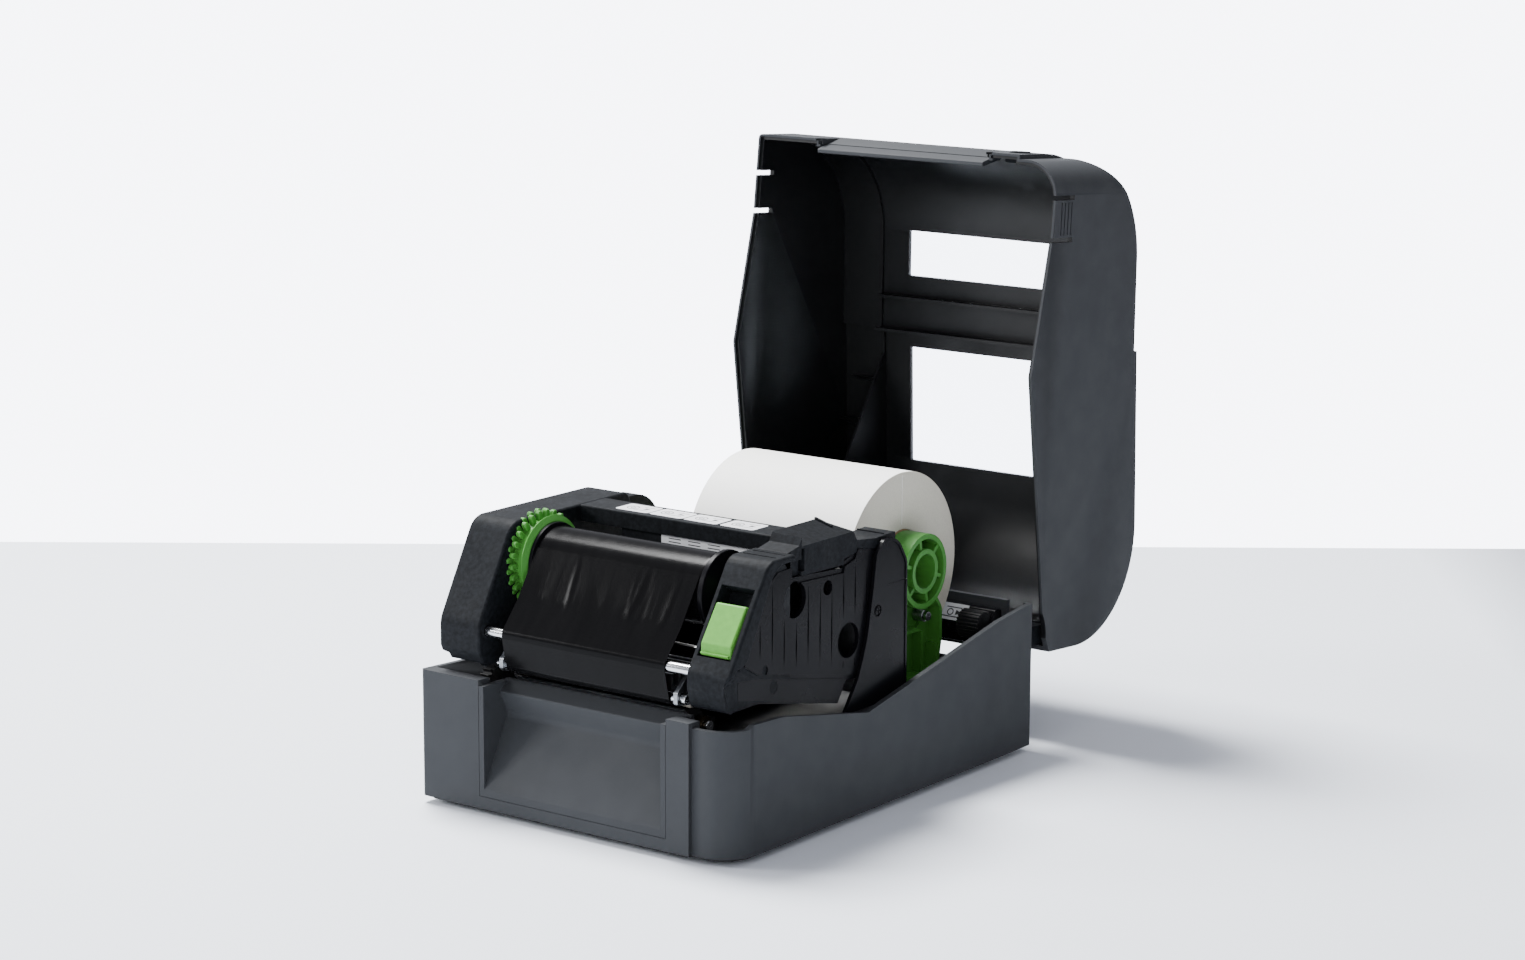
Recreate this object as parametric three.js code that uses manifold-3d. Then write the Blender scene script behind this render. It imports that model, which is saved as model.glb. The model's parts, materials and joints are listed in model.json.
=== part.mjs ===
// Desktop label maker: a thermal-transfer printer for 4-inch label rolls, shown with its lid open.
// Millimetres. X points right, Y points back and Z points up; the floor is z = 0.
// The lid is drawn closed inside its own hinge group, and the group is turned open.
import * as THREE from "three";
import { mergeVertices } from "three/addons/utils/BufferGeometryUtils.js";
import Module from "manifold-3d";

// ---- driving dimensions ----
const WIDTH = 204;
const DEPTH = 280;
const WALL = 3;
const GAP = 0.3; // between pieces that are fixed to each other
const RUN = 0.5; // running clearance of moving pieces

const FOOT_HEIGHT = 2;
const FOOT_RADIUS = 7;
const CASING_BOTTOM = 4;
const PAN_TOP = 7;
const FRONT_HEIGHT = 73;
const DECK_HEIGHT = 71;
const KINK_Y = 120;
const KINK_HEIGHT = 57;
const REAR_HEIGHT = 85;
const SHARP_CORNER = 2.5;
const ROUND_CORNER = 20;
const CORNER_STEP = 2.5;
const CORNER_STEP_X = 76.5;
const CORNER_DROP = 3;

const LID_FRONT_APEX = 160.7;
const LID_FRONT_RADIUS = 62;
const LID_REAR_RADIUS = 60;
const LID_STEP_Y = 111.7;
const LID_STEP = 3;
const LID_SLOPE = 0.0993;
const LID_INSET_REAR = 3.2;
const LID_REAR_BOTTOM = 93;
const LID_OPEN_ANGLE = 94;
const HINGE_HEIGHT = 64;
const HINGE_FROM_REAR = 11.4;
const HINGE_CLEAR_RADIUS = 24.5;
const HINGE_PIN = 3;
const WINDOW_HALF = 52.5;

const MEDIA_HALF = 54;
const ROLL_RADIUS = 53.1;
const ROLL_HEIGHT = 109.7;
const ROLL_FROM_REAR = 60.5;
const CORE_BORE = 19.1;
const CORE_WALL = 2;

const RIBBON_HALF = 53;
const CHEEK_IN = 67;
const CHEEK_OUT = 94.7;
const CHEEK_WALL = 2.5;
const CHEEK_TOP = 151;
const PIVOT_Y = 147;
const PIVOT_Z = 104;
const PIVOT_PIN = 4;
const SHAFT_RADIUS = 2.8;
const REWIND_Y = 56;
const REWIND_Z = 127.5;
const REWIND_RADIUS = 19.2;
const REWIND_TEETH = 26;
const REWIND_TIP = 27;
const SUPPLY_Y = 114;
const SUPPLY_Z = 97;
const SUPPLY_RADIUS = 19;

const HEAD_HALF = 58.9;
const PLATEN_FRONT = 26; // the front of the platen, just behind the tear bar
const PLATEN_Z = 62;
const PLATEN_RADIUS = 8;
const GEAR_MODULE = 1;
const PLATEN_TEETH = 24;
const IDLER_TEETH = 32;
const PINION_TEETH = 16;
const MOTOR_Y = 70;
const MOTOR_Z = 30;
const MOTOR_SIZE = 42;

const BAY_FLOOR = 46;
const DECK_FLOOR = 56;
const PLATE = 3;
const GUIDE_HUB = 20.8;
const ARC_STEPS = 5;
const ROUND_STEPS = 28;

// ---- derived places ----
const HALF = WIDTH / 2;
const INSIDE = HALF - WALL;
const HINGE_Y = DEPTH - HINGE_FROM_REAR;
const ROLL_Y = DEPTH - ROLL_FROM_REAR;
const PANEL_HALF = 62;
const PLATEN_Y = PLATEN_FRONT + PLATEN_RADIUS;
const radians = THREE.MathUtils.degToRad;

const wasm = await Module();
wasm.setup();

// ---- solids ----
function toSolid(geometry) {
  const bare = geometry.index ? geometry.toNonIndexed() : geometry.clone();
  bare.deleteAttribute("normal");
  bare.deleteAttribute("uv");
  const merged = mergeVertices(bare, 1e-4);
  const mesh = new wasm.Mesh({
    numProp: 3,
    vertProperties: merged.attributes.position.array,
    triVerts: new Uint32Array(merged.index.array),
  });
  return new wasm.Manifold(mesh);
}

function toGeometry(solid) {
  const mesh = solid.getMesh();
  const geometry = new THREE.BufferGeometry();
  geometry.setAttribute("position", new THREE.BufferAttribute(mesh.vertProperties, 3));
  geometry.setIndex(new THREE.BufferAttribute(mesh.triVerts, 1));
  const flat = geometry.toNonIndexed();
  flat.computeVertexNormals();
  return flat;
}

const join = (first, ...rest) => rest.reduce((sum, one) => sum.add(one), first);
const cut = (first, ...rest) => rest.reduce((left, one) => left.subtract(one), first);

// A closed outline from [u, v, corner radius] points.
function outline(points, make = new THREE.Shape()) {
  const count = points.length;
  points.forEach(([u, v, radius = 0], i) => {
    const here = new THREE.Vector2(u, v);
    const before = new THREE.Vector2(...points[(i + count - 1) % count].slice(0, 2)).sub(here);
    const after = new THREE.Vector2(...points[(i + 1) % count].slice(0, 2)).sub(here);
    before.normalize();
    after.normalize();
    if (radius > 0) {
      const half = Math.acos(THREE.MathUtils.clamp(before.dot(after), -1, 1)) / 2;
      const reach = radius / Math.tan(half);
      const centre = before.clone().add(after).normalize().multiplyScalar(radius / Math.sin(half)).add(here);
      const from = here.clone().addScaledVector(before, reach);
      const start = from.clone().sub(centre);
      const end = here.clone().addScaledVector(after, reach).sub(centre);
      if (i === 0) {
        make.moveTo(from.x, from.y);
      } else {
        make.lineTo(from.x, from.y);
      }
      make.absarc(centre.x, centre.y, radius, start.angle(), end.angle(), before.cross(after) > 0);
    } else if (i === 0) {
      make.moveTo(u, v);
    } else {
      make.lineTo(u, v);
    }
  });
  return make;
}

function extrude(shape, depth, steps = ARC_STEPS) {
  return new THREE.ExtrudeGeometry(shape, { depth, bevelEnabled: false, curveSegments: steps });
}

// A (y, z) outline run from x0 to x1.
function alongX(shape, x0, x1, steps) {
  const turn = new THREE.Matrix4().set(0, 0, 1, x0, 1, 0, 0, 0, 0, 1, 0, 0, 0, 0, 0, 1);
  return toSolid(extrude(shape, x1 - x0, steps).applyMatrix4(turn));
}

// An (x, y) outline run from z0 to z1.
function alongZ(shape, z0, z1, steps) {
  return toSolid(extrude(shape, z1 - z0, steps).translate(0, 0, z0));
}

function block(x0, x1, y0, y1, z0, z1) {
  const size = new THREE.BoxGeometry(x1 - x0, y1 - y0, z1 - z0);
  return toSolid(size.translate((x0 + x1) / 2, (y0 + y1) / 2, (z0 + z1) / 2));
}

// A round bar along X, Y or Z.
function rod(axis, radius, from, to, a, b, sides = 24) {
  const bar = new THREE.CylinderGeometry(radius, radius, to - from, sides);
  const middle = (from + to) / 2;
  if (axis === "x") {
    return toSolid(bar.rotateZ(-Math.PI / 2).translate(middle, a, b));
  }
  if (axis === "y") {
    return toSolid(bar.translate(a, middle, b));
  }
  return toSolid(bar.rotateX(Math.PI / 2).translate(a, b, middle));
}

function tube(axis, outer, inner, from, to, a, b, sides = 24) {
  return cut(rod(axis, outer, from, to, a, b, sides), rod(axis, inner, from - 1, to + 1, a, b, sides));
}

const rect = (u0, u1, v0, v1, r = 0) => outline([[u0, v0, r], [u1, v0, r], [u1, v1, r], [u0, v1, r]]);

// A strip of the given thickness that follows (y, z) points; it grows to the left of its path.
function strip(points, thickness, x0, x1) {
  const path = points.map(([y, z]) => new THREE.Vector2(y, z));
  const side = path.map((p, i) => {
    const back = i > 0 ? p.clone().sub(path[i - 1]).normalize() : null;
    const ahead = i < path.length - 1 ? path[i + 1].clone().sub(p).normalize() : null;
    const mean = (back ?? ahead).clone().add(ahead ?? back).normalize();
    const normal = new THREE.Vector2(-mean.y, mean.x);
    const lean = new THREE.Vector2(-(ahead ?? back).y, (ahead ?? back).x).dot(normal);
    return p.clone().addScaledVector(normal, thickness / lean);
  });
  return alongX(new THREE.Shape([...path, ...side.reverse()]), x0, x1);
}

class Coil extends THREE.Curve {
  constructor(radius, length, turns) {
    super();
    this.size = { radius, length, turns };
  }
  getPoint(t, target = new THREE.Vector3()) {
    const angle = t * this.size.turns * 2 * Math.PI;
    const { radius, length } = this.size;
    return target.set(radius * Math.cos(angle), radius * Math.sin(angle), t * length);
  }
}

// A coil spring standing along +Z from the origin.
function spring(radius, wire, length, turns) {
  const section = new THREE.Shape();
  section.absarc(0, 0, wire, 0, 2 * Math.PI, false);
  const path = new Coil(radius, length, turns);
  return new THREE.ExtrudeGeometry(section, {
    steps: turns * 9,
    curveSegments: 3,
    bevelEnabled: false,
    extrudePath: path,
  });
}

// A spur gear outline on the (y, z) plane round (0, 0), with a tooth at angle `phase`.
function gearShape(teeth, pitchRadius, rise, fall, phase, tipShare = 0.12, rootShare = 0.26) {
  const step = (2 * Math.PI) / teeth;
  const points = [];
  const put = (radius, angle) => {
    points.push(new THREE.Vector2(radius * Math.cos(angle), radius * Math.sin(angle)));
  };
  for (let i = 0; i < teeth; i++) {
    const middle = phase + i * step;
    put(pitchRadius - fall, middle - rootShare * step);
    put(pitchRadius + rise, middle - tipShare * step);
    put(pitchRadius + rise, middle + tipShare * step);
    put(pitchRadius - fall, middle + rootShare * step);
  }
  return new THREE.Shape(points);
}

// ---- materials ----
const finish = (color, roughness, metalness = 0) =>
  new THREE.MeshStandardMaterial({ color, roughness, metalness });
const casingGrey = () => finish(0x4d5054, 0.62);
const frameBlack = () => finish(0x24262a, 0.55);
const glossBlack = () => finish(0x1b1c20, 0.3);
const deckBlack = () => finish(0x1f2023, 0.6);
const green = () => finish(0x5fb548, 0.4);
const steel = () => finish(0xc4c6c8, 0.28, 1);
const rubber = () => finish(0x1c1c1c, 0.85);
const paper = () => finish(0xf2f3f1, 0.8);
const ribbonFilm = () => finish(0x222224, 0.35);
const boardGreen = () => finish(0x1f5b3a, 0.5);

const machine = new THREE.Group();
const lid = new THREE.Group();
const design = new THREE.Group();
design.add(lid);
machine.add(design);

function add(name, solid, material, group = design) {
  const mesh = new THREE.Mesh(solid.isBufferGeometry ? solid : toGeometry(solid), material);
  mesh.name = name;
  group.add(mesh);
  return mesh;
}

// ---- outlines that the base and the lid share ----
// The plan: sharp front left corner, a stepped and well rounded front right corner.
function plan(inset) {
  const round = (radius) => Math.max(radius - inset, 0.6);
  return outline([
    [-HALF + inset, inset, round(SHARP_CORNER)],
    [CORNER_STEP_X - inset, inset],
    [CORNER_STEP_X - inset, CORNER_STEP + inset],
    [HALF - inset, CORNER_STEP + inset, round(ROUND_CORNER)],
    [HALF - inset, DEPTH - inset, round(SHARP_CORNER)],
    [-HALF + inset, DEPTH - inset, round(SHARP_CORNER)],
  ]);
}

// The sloping top edge of the base, from front to rear.
const TOP_EDGE = [
  [0, FRONT_HEIGHT],
  [45, DECK_HEIGHT],
  [KINK_Y, KINK_HEIGHT],
  [DEPTH - 84, REAR_HEIGHT - 13],
  [DEPTH - 35, REAR_HEIGHT - 3.4],
  [DEPTH - 7, REAR_HEIGHT],
  [DEPTH, REAR_HEIGHT],
];

// ---- places of the drive gears ----
const GEAR_X = -78;
const GEAR_FACE = 6;
const gearRadius = (teeth) => (teeth * GEAR_MODULE) / 2;
const GEAR_BACKLASH = 0.2;

function gearPlaces() {
  const pinion = new THREE.Vector2(MOTOR_Y, MOTOR_Z);
  const platen = new THREE.Vector2(PLATEN_Y, PLATEN_Z);
  const first = gearRadius(PINION_TEETH) + gearRadius(IDLER_TEETH) + GEAR_BACKLASH;
  const second = gearRadius(IDLER_TEETH) + gearRadius(PLATEN_TEETH) + GEAR_BACKLASH;
  const span = pinion.distanceTo(platen);
  const along = (first * first - second * second + span * span) / (2 * span);
  const off = Math.sqrt(Math.max(first * first - along * along, 0));
  const axis = platen.clone().sub(pinion).normalize();
  const idler = pinion.clone().addScaledVector(axis, along);
  idler.add(new THREE.Vector2(axis.y, -axis.x).multiplyScalar(off));
  return { pinion, idler, platen };
}

function gearPhases({ pinion, idler, platen }) {
  const toIdler = idler.clone().sub(pinion).angle();
  const toPlaten = platen.clone().sub(idler).angle();
  const idlerStep = (2 * Math.PI) / IDLER_TEETH;
  const platenStep = (2 * Math.PI) / PLATEN_TEETH;
  const idlerPhase = toIdler + Math.PI + idlerStep / 2;
  const past = (toPlaten - idlerPhase) / idlerStep;
  return { pinion: toIdler, idler: idlerPhase, platen: toPlaten + Math.PI + (past + 0.5) * platenStep };
}

const gearAt = gearPlaces();
const gearTurn = gearPhases(gearAt);

const IDLER_PIN = 3;

// ---- base ----
const REACH = 400;

function baseCasing() {
  const above = outline([...TOP_EDGE, [DEPTH + REACH, REAR_HEIGHT], [DEPTH + REACH, REACH], [-REACH, REACH],
    [-REACH, FRONT_HEIGHT]]);
  let shell = cut(alongZ(plan(0), CASING_BOTTOM, 100), alongZ(plan(WALL), 0, 101));
  // ledges that close the top of the front left block and of the right border
  const ledgeDepth = 9;
  const ledge = 8;
  shell = join(shell, block(-INSIDE - 1, -PANEL_HALF, WALL - 1, ledgeDepth, FRONT_HEIGHT - ledge, 90));
  shell = join(shell, block(PANEL_HALF, CORNER_STEP_X, WALL - 1, ledgeDepth, FRONT_HEIGHT - ledge, 90));
  const cornerTop = FRONT_HEIGHT - CORNER_DROP;
  const notch = block(CORNER_STEP_X, HALF + 1, -1, ROUND_CORNER, cornerTop, 100);
  const panelBay = block(-PANEL_HALF, PANEL_HALF, -1, ledgeDepth + 1, CASING_BOTTOM + 6.5, 100);
  const armHalf = 5.5;
  const rear = (x0, x1, z0, z1) => block(x0, x1, DEPTH - WALL - 1, DEPTH + 1, z0, z1);
  const armNotch = (side) => rear(side * ARM_X - armHalf, side * ARM_X + armHalf, 56, 99);
  return cut(
    shell,
    alongX(above, -HALF - 1, HALF + 1),
    notch,
    panelBay,
    armNotch(-1),
    armNotch(1),
    rear(-MEDIA_HALF - 4, MEDIA_HALF + 16, FANFOLD_Z, FANFOLD_Z + FANFOLD_HEIGHT),
    rear(INLET_X - 8, INLET_X + 8, PORT_BASE - GAP, PORT_Z + 7),
    rear(USB_X - 7.3, USB_X + 7.3, PORT_BASE - GAP, PORT_Z + 5.3),
    rear(SWITCH_X - 7, SWITCH_X + 7, SWITCH_Z - 11.6, SWITCH_Z + 11.6),
  );
}

const ARM_X = 91.5;
const FANFOLD_Z = 47;
const FANFOLD_HEIGHT = 8.5;
const INLET_X = 28;
const USB_X = -6;
const PORT_Z = 22;
const BOARD_Z = 12;
const BOARD_THICK = 1.6;
const PORT_BASE = BOARD_Z + BOARD_THICK + GAP;
const SWITCH_X = 62;
const SWITCH_Z = 24;

function frontPanel() {
  const side = PANEL_HALF - GAP;
  const low = CASING_BOTTOM + 6.5 + GAP;
  const top = FRONT_HEIGHT - 3;
  const front = [[0, low], [0, low + 4, 2], [19.5, 52, 3], [13, 65, 1], [22, top], [24, top]];
  const back = [[24, top - 3], [17.4, 63.5], [23.4, 52, 3], [WALL + 0.4, low + 3], [WALL + 0.4, low]];
  const skin = outline([...front, ...back].reverse());
  const cheek = outline([[0, low], [0, top], [19.8, top], [22.5, 52], [WALL, low]].reverse());
  const cheekWidth = 3.2;
  return join(
    alongX(skin, -side, side),
    alongX(cheek, -side, -side + cheekWidth),
    alongX(cheek, side - cheekWidth, side),
  );
}

function chassis() {
  const side = INSIDE - GAP;
  const floor = outline([
    [26, DECK_FLOOR - PLATE],
    [150, DECK_FLOOR - PLATE],
    [160, BAY_FLOOR - PLATE],
    [DEPTH - WALL - GAP, BAY_FLOOR - PLATE],
    [DEPTH - WALL - GAP, BAY_FLOOR],
    [161, BAY_FLOOR],
    [151, DECK_FLOOR],
    [26, DECK_FLOOR],
  ]);
  const wellFront = PLATEN_Y - PLATEN_RADIUS - 1;
  const wellRear = PLATEN_Y + PLATEN_RADIUS + 3;
  const wellHalf = MEDIA_HALF + 2;
  const platenWell = block(-wellHalf, wellHalf, wellFront, wellRear, DECK_FLOOR - PLATE - 1, DECK_FLOOR + 1);
  const earWidth = 2.3;
  const ear = (x) => block(x, x + earWidth, HINGE_Y - 8, HINGE_Y + 6, BAY_FLOOR - 1, HINGE_HEIGHT + 6);
  const bearing = (x) => block(x, x + 4, PLATEN_Y - 8, PLATEN_Y + 8, DECK_FLOOR - 1, PLATEN_Z + 3);
  const earX = ARM_X - 5 - GAP - earWidth;
  // the deck is cut away over the drive gears and the motor
  const gearWell = block(-84, -62, 20, 96, DECK_FLOOR - PLATE - 1, DECK_FLOOR + 1);
  const legs = [-1, 1].flatMap((s) =>
    [[110, DECK_FLOOR], [DEPTH - 70, BAY_FLOOR]].map(([y, top]) =>
      block(s * 78 - 4, s * 78 + 4, y - 4, y + 4, PAN_TOP, top - 1)));
  const body = join(
    cut(alongX(floor, -side, side), platenWell, gearWell),
    idlerPost(),
    ear(earX),
    ear(-earX - earWidth),
    bearing(BEARING_X),
    bearing(-BEARING_X - 4),
    ...legs,
  );
  return cut(
    body,
    rod("x", HINGE_PIN + RUN / 2, -HALF, HALF, HINGE_Y, HINGE_HEIGHT),
    rod("x", BUSH_RADIUS + GAP, -70, 70, PLATEN_Y, PLATEN_Z),
  );
}

const BEARING_X = MEDIA_HALF + 3;
const BUSH_RADIUS = 5;

// The pin that the idler gear turns on, and the web that hangs it from the deck.
function idlerPost() {
  const { x: y, y: z } = gearAt.idler;
  return join(
    block(-63.5, -61, y - 5, y + 5, z - 5, DECK_FLOOR),
    rod("x", IDLER_PIN, GEAR_X - 5, -61.5, y, z, 16),
  );
}

function bottomPan() {
  const inset = 4;
  const pan = alongZ(plan(inset), FOOT_HEIGHT, PAN_TOP);
  const bosses = [-60, 40].flatMap((x) =>
    [BOARD_Y0 + 8, BOARD_Y1 - 8].map((y) => rod("z", 3.5, PAN_TOP - 1, BOARD_Z - GAP, x, y, 12)));
  return join(pan, ...bosses);
}

const BOARD_Y0 = 118;
const BOARD_Y1 = DEPTH - WALL - 2;

// A plate with a round top that carries one end of the frame's pivot. The left one is thicker and
// stands inside the hollow left cheek, so its top stays inside the cheek roof's swing.
function sideTower(side) {
  const wide = side < 0 ? TOWER_LEFT_WIDTH : TOWER_RIGHT_WIDTH;
  const front = [[133, BAY_FLOOR], [140, 80, 30], [139, 144, 10]];
  const shape = outline([...front, [176, 144, 22], [176, BAY_FLOOR]].reverse());
  const x0 = side < 0 ? -CHEEK_OUT + CHEEK_WALL + RUN : CHEEK_OUT - wide;
  const tower = alongX(shape, x0, x0 + wide);
  const well = block(-REACH, REACH, 130, 161.4, 0, DECK_FLOOR + GAP);
  return cut(tower, well, rod("x", PIVOT_PIN + GAP, x0 - 1, x0 + wide + 1, PIVOT_Y, PIVOT_Z));
}

const TOWER_LEFT_WIDTH = 11.7;
const TOWER_RIGHT_WIDTH = 3.2;

add("bottom_pan", bottomPan(), deckBlack());
add("base_casing", baseCasing(), casingGrey());
add("front_panel", frontPanel(), casingGrey());
add("chassis_deck", chassis(), deckBlack());
add("left_side_tower", sideTower(-1), frameBlack());
add("right_side_tower", sideTower(1), frameBlack());

const FOOT_INSET = 20;
const FEET = {
  foot_front_left: [-HALF + FOOT_INSET, FOOT_INSET],
  foot_front_right: [HALF - FOOT_INSET, FOOT_INSET + CORNER_STEP],
  foot_rear_left: [-HALF + FOOT_INSET, DEPTH - FOOT_INSET],
  foot_rear_right: [HALF - FOOT_INSET, DEPTH - FOOT_INSET],
};
for (const [name, [x, y]] of Object.entries(FEET)) {
  add(name, rod("z", FOOT_RADIUS, 0, FOOT_HEIGHT, x, y), rubber());
}

const TEAR_Y = 24 + GAP;
const tearTip = [[TEAR_Y + 1, 70.2], [23.2, 72], [22.4, 71.6], [TEAR_Y, 70]];
const tearShape = outline([[TEAR_Y + 1, DECK_FLOOR], ...tearTip, [TEAR_Y, DECK_FLOOR]]);
add("tear_bar", alongX(tearShape, -MEDIA_HALF - 2, MEDIA_HALF + 2), steel());
add("rear_guide_bar", rearBar(), glossBlack());

function rearBar() {
  const y = DEPTH - WALL - GAP;
  const shape = outline([[y - 12, 60, 3], [y, 60], [y, 80, 2], [y - 6, 80, 2], [y - 12, 71, 2]]);
  const half = ARM_X - 8.5;
  const foot = (x) => block(x - 3, x + 3, y - 9, y, BAY_FLOOR, 61);
  return join(alongX(shape, -half, half), foot(-half + 3), foot(half - 3));
}

function circuitBoard() {
  return block(-68, 48, BOARD_Y0, BOARD_Y1, BOARD_Z, BOARD_Z + BOARD_THICK);
}

add("circuit_board", circuitBoard(), boardGreen());
add(
  "power_inlet",
  cut(
    block(INLET_X - 7.5, INLET_X + 7.5, DEPTH - 16, DEPTH - 0.4, PORT_BASE, PORT_Z + 6.5),
    rod("y", 4.5, DEPTH - 12, DEPTH + 1, INLET_X, PORT_Z),
  ),
  deckBlack(),
);
add(
  "usb_port",
  cut(
    block(USB_X - 6.8, USB_X + 6.8, DEPTH - 16, DEPTH - 0.4, PORT_BASE, PORT_Z + 4.8),
    block(USB_X - 5.6, USB_X + 5.6, DEPTH - 12, DEPTH + 1, PORT_BASE + 1.2, PORT_Z + 3.6),
  ),
  steel(),
);

function rocker() {
  const y = DEPTH - 3.2;
  const half = 10.4;
  const shape = outline([[y - 6, SWITCH_Z - 5], [y + 2.4, SWITCH_Z - half], [y + 4, SWITCH_Z - half],
    [y + 2.6, SWITCH_Z], [y + 4, SWITCH_Z + half], [y + 2.4, SWITCH_Z + half], [y - 6, SWITCH_Z + 5]]);
  return alongX(shape, SWITCH_X - 6.5, SWITCH_X + 6.5);
}

add("power_switch", rocker(), glossBlack());

// ---- platen and its drive ----
function driveGear(which, teeth, bore) {
  const shape = gearShape(teeth, gearRadius(teeth), 0.85, 1.25, gearTurn[which]);
  const at = gearAt[which];
  const wheel = alongX(shape, GEAR_X - GEAR_FACE / 2, GEAR_X + GEAR_FACE / 2).translate([0, at.x, at.y]);
  return cut(wheel, rod("x", bore, -HALF, 0, at.x, at.y, 16));
}

const PLATEN_SHAFT = 3;
add("platen_shaft", rod("x", PLATEN_SHAFT, GEAR_X - 4, BEARING_X + 7, PLATEN_Y, PLATEN_Z, 20), steel());
add(
  "platen_roller",
  tube("x", PLATEN_RADIUS, PLATEN_SHAFT + GAP, -MEDIA_HALF, MEDIA_HALF, PLATEN_Y, PLATEN_Z, 32),
  rubber(),
);
add("platen_gear", driveGear("platen", PLATEN_TEETH, PLATEN_SHAFT + GAP), deckBlack());
for (const [name, side] of [["platen_bush_left", -1], ["platen_bush_right", 1]]) {
  const x = side * (BEARING_X + 2);
  const bush = tube("x", BUSH_RADIUS, PLATEN_SHAFT + RUN / 2, x - 2.4, x + 2.4, PLATEN_Y, PLATEN_Z, 20);
  add(name, bush, finish(0xb08d4a, 0.4, 1));
}
add("idler_gear", driveGear("idler", IDLER_TEETH, IDLER_PIN + RUN / 2), deckBlack());
const MOTOR_SHAFT = 2.5;
const MOTOR_X = -60;
add(
  "motor_pinion",
  join(
    driveGear("pinion", PINION_TEETH, 1),
    rod("x", MOTOR_SHAFT, GEAR_X - 4, MOTOR_X + 5, MOTOR_Y, MOTOR_Z, 16),
  ),
  steel(),
);
add("stepper_motor", stepper(), finish(0x2a2b2d, 0.45, 0.6));

function stepper() {
  const half = MOTOR_SIZE / 2;
  const can = rect(MOTOR_Y - half, MOTOR_Y + half, PAN_TOP + GAP, PAN_TOP + GAP + MOTOR_SIZE, 5);
  const bore = rod("x", MOTOR_SHAFT + RUN / 2, MOTOR_X - 1, MOTOR_X + 6, MOTOR_Y, MOTOR_Z, 16);
  return cut(alongX(can, MOTOR_X, MOTOR_X + 34, 2), bore);
}

// ---- label roll, its core and the two media guides ----
const wound = (outer, inner, half, sides) => tube("x", outer, inner, -half, half, ROLL_Y, ROLL_HEIGHT, sides);
add("label_roll", wound(ROLL_RADIUS, CORE_BORE + CORE_WALL + GAP, MEDIA_HALF, 96), paper());
add("roll_core", wound(CORE_BORE + CORE_WALL, CORE_BORE, MEDIA_HALF - 0.5, 40), finish(0xa98f6b, 0.85));

const GUIDE_X = MEDIA_HALF + 0.8;
const GUIDE_PLATE = 3.2;
const GUIDE_DEPTH = 15;
const PLUG_DEPTH = 8;
const SPOKES = 6;

function guide() {
  const y = ROLL_Y;
  const z = ROLL_HEIGHT;
  const foot = BAY_FLOOR + GAP;
  const waist = [[y + 20, 68, 12], [y + 15, 82, 10], [y + GUIDE_HUB, z]];
  const upright = outline([[y - 20.5, foot], [y + 19, foot], ...waist, [y - GUIDE_HUB, z]]);
  const x0 = GUIDE_X;
  const x1 = GUIDE_X + GUIDE_DEPTH;
  let body = join(
    alongX(upright, x0, x0 + GUIDE_PLATE),
    rod("x", GUIDE_HUB, x0, x0 + GUIDE_PLATE, y, z, ROUND_STEPS),
    tube("x", GUIDE_HUB, GUIDE_HUB - 2.8, x0, x1, y, z, ROUND_STEPS),
    tube("x", 12.4, 9.6, x0, x1, y, z, 28),
    rod("x", CORE_BORE - 0.5, x0 - PLUG_DEPTH, x0 + 1, y, z, ROUND_STEPS),
    block(x0 - 4, x1 - 1, y - 19, y + 18, foot, foot + 3),
    block(x0, x1 - 3, y - 20.5, y - 17.5, foot, z - 10),
    block(x0, x1 - 3, y + 15, y + 18, foot, 66),
  );
  for (let i = 0; i < SPOKES; i++) {
    const spoke = block(x0, x1 - 1, -1, 1, 11.5, GUIDE_HUB - 1);
    body = join(body, spoke.rotate([(i * 360) / SPOKES + 12, 0, 0]).translate([0, y, z]));
  }
  return cut(body, rod("x", 9.6, x0 - PLUG_DEPTH - 1, x1 + 1, y, z, 28));
}

const guideBody = guide();
add("media_guide_right", guideBody, green());
add("media_guide_left", guideBody.mirror([1, 0, 0]), green());
const GUIDE_SCREW = [ROLL_Y + 6.5, 83];
add(
  "guide_screw",
  join(
    rod("x", 2.6, GUIDE_X + GUIDE_PLATE + 8, GUIDE_X + GUIDE_PLATE + 10, ...GUIDE_SCREW, 16),
    rod("x", 1.4, GUIDE_X + GUIDE_PLATE + GAP, GUIDE_X + GUIDE_PLATE + 9, ...GUIDE_SCREW, 12),
  ),
  steel(),
);
const guideSpring = spring(3.2, 0.45, 7, 4);
guideSpring.rotateY(Math.PI / 2).translate(GUIDE_X + GUIDE_PLATE + 0.8, ...GUIDE_SCREW);
add("guide_spring", guideSpring, steel());

// The leading end of the labels, which runs forward under the frame to the platen.
const stripStart = ROLL_Y - 12;
const labelPath = [
  [stripStart, ROLL_HEIGHT - ROLL_RADIUS - 0.2],
  [150, 58.5],
  [60, 62],
  [PLATEN_Y + 8, PLATEN_Z + PLATEN_RADIUS + 0.8],
  [PLATEN_Y - 2, PLATEN_Z + PLATEN_RADIUS + 0.8],
];
add("label_strip", strip(labelPath, 0.4, -MEDIA_HALF + 1, MEDIA_HALF - 1), paper());
add("gap_sensor", block(-8, 8, 66, 84, DECK_FLOOR, 60.2), glossBlack());

// ---- print frame: two cheeks, bar, shafts and print head ----

function cheekShape(grow, low) {
  return outline([
    [11 + grow, low, grow > 0 ? 0 : 5],
    [7 + grow, 86, grow > 0 ? 0 : 4],
    [7 + grow, 100, 12],
    [34.5 + grow * 0.6, CHEEK_TOP - grow, 9],
    [134, CHEEK_TOP - grow, grow > 0 ? 0 : 6],
    [134, low],
  ].reverse());
}

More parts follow.
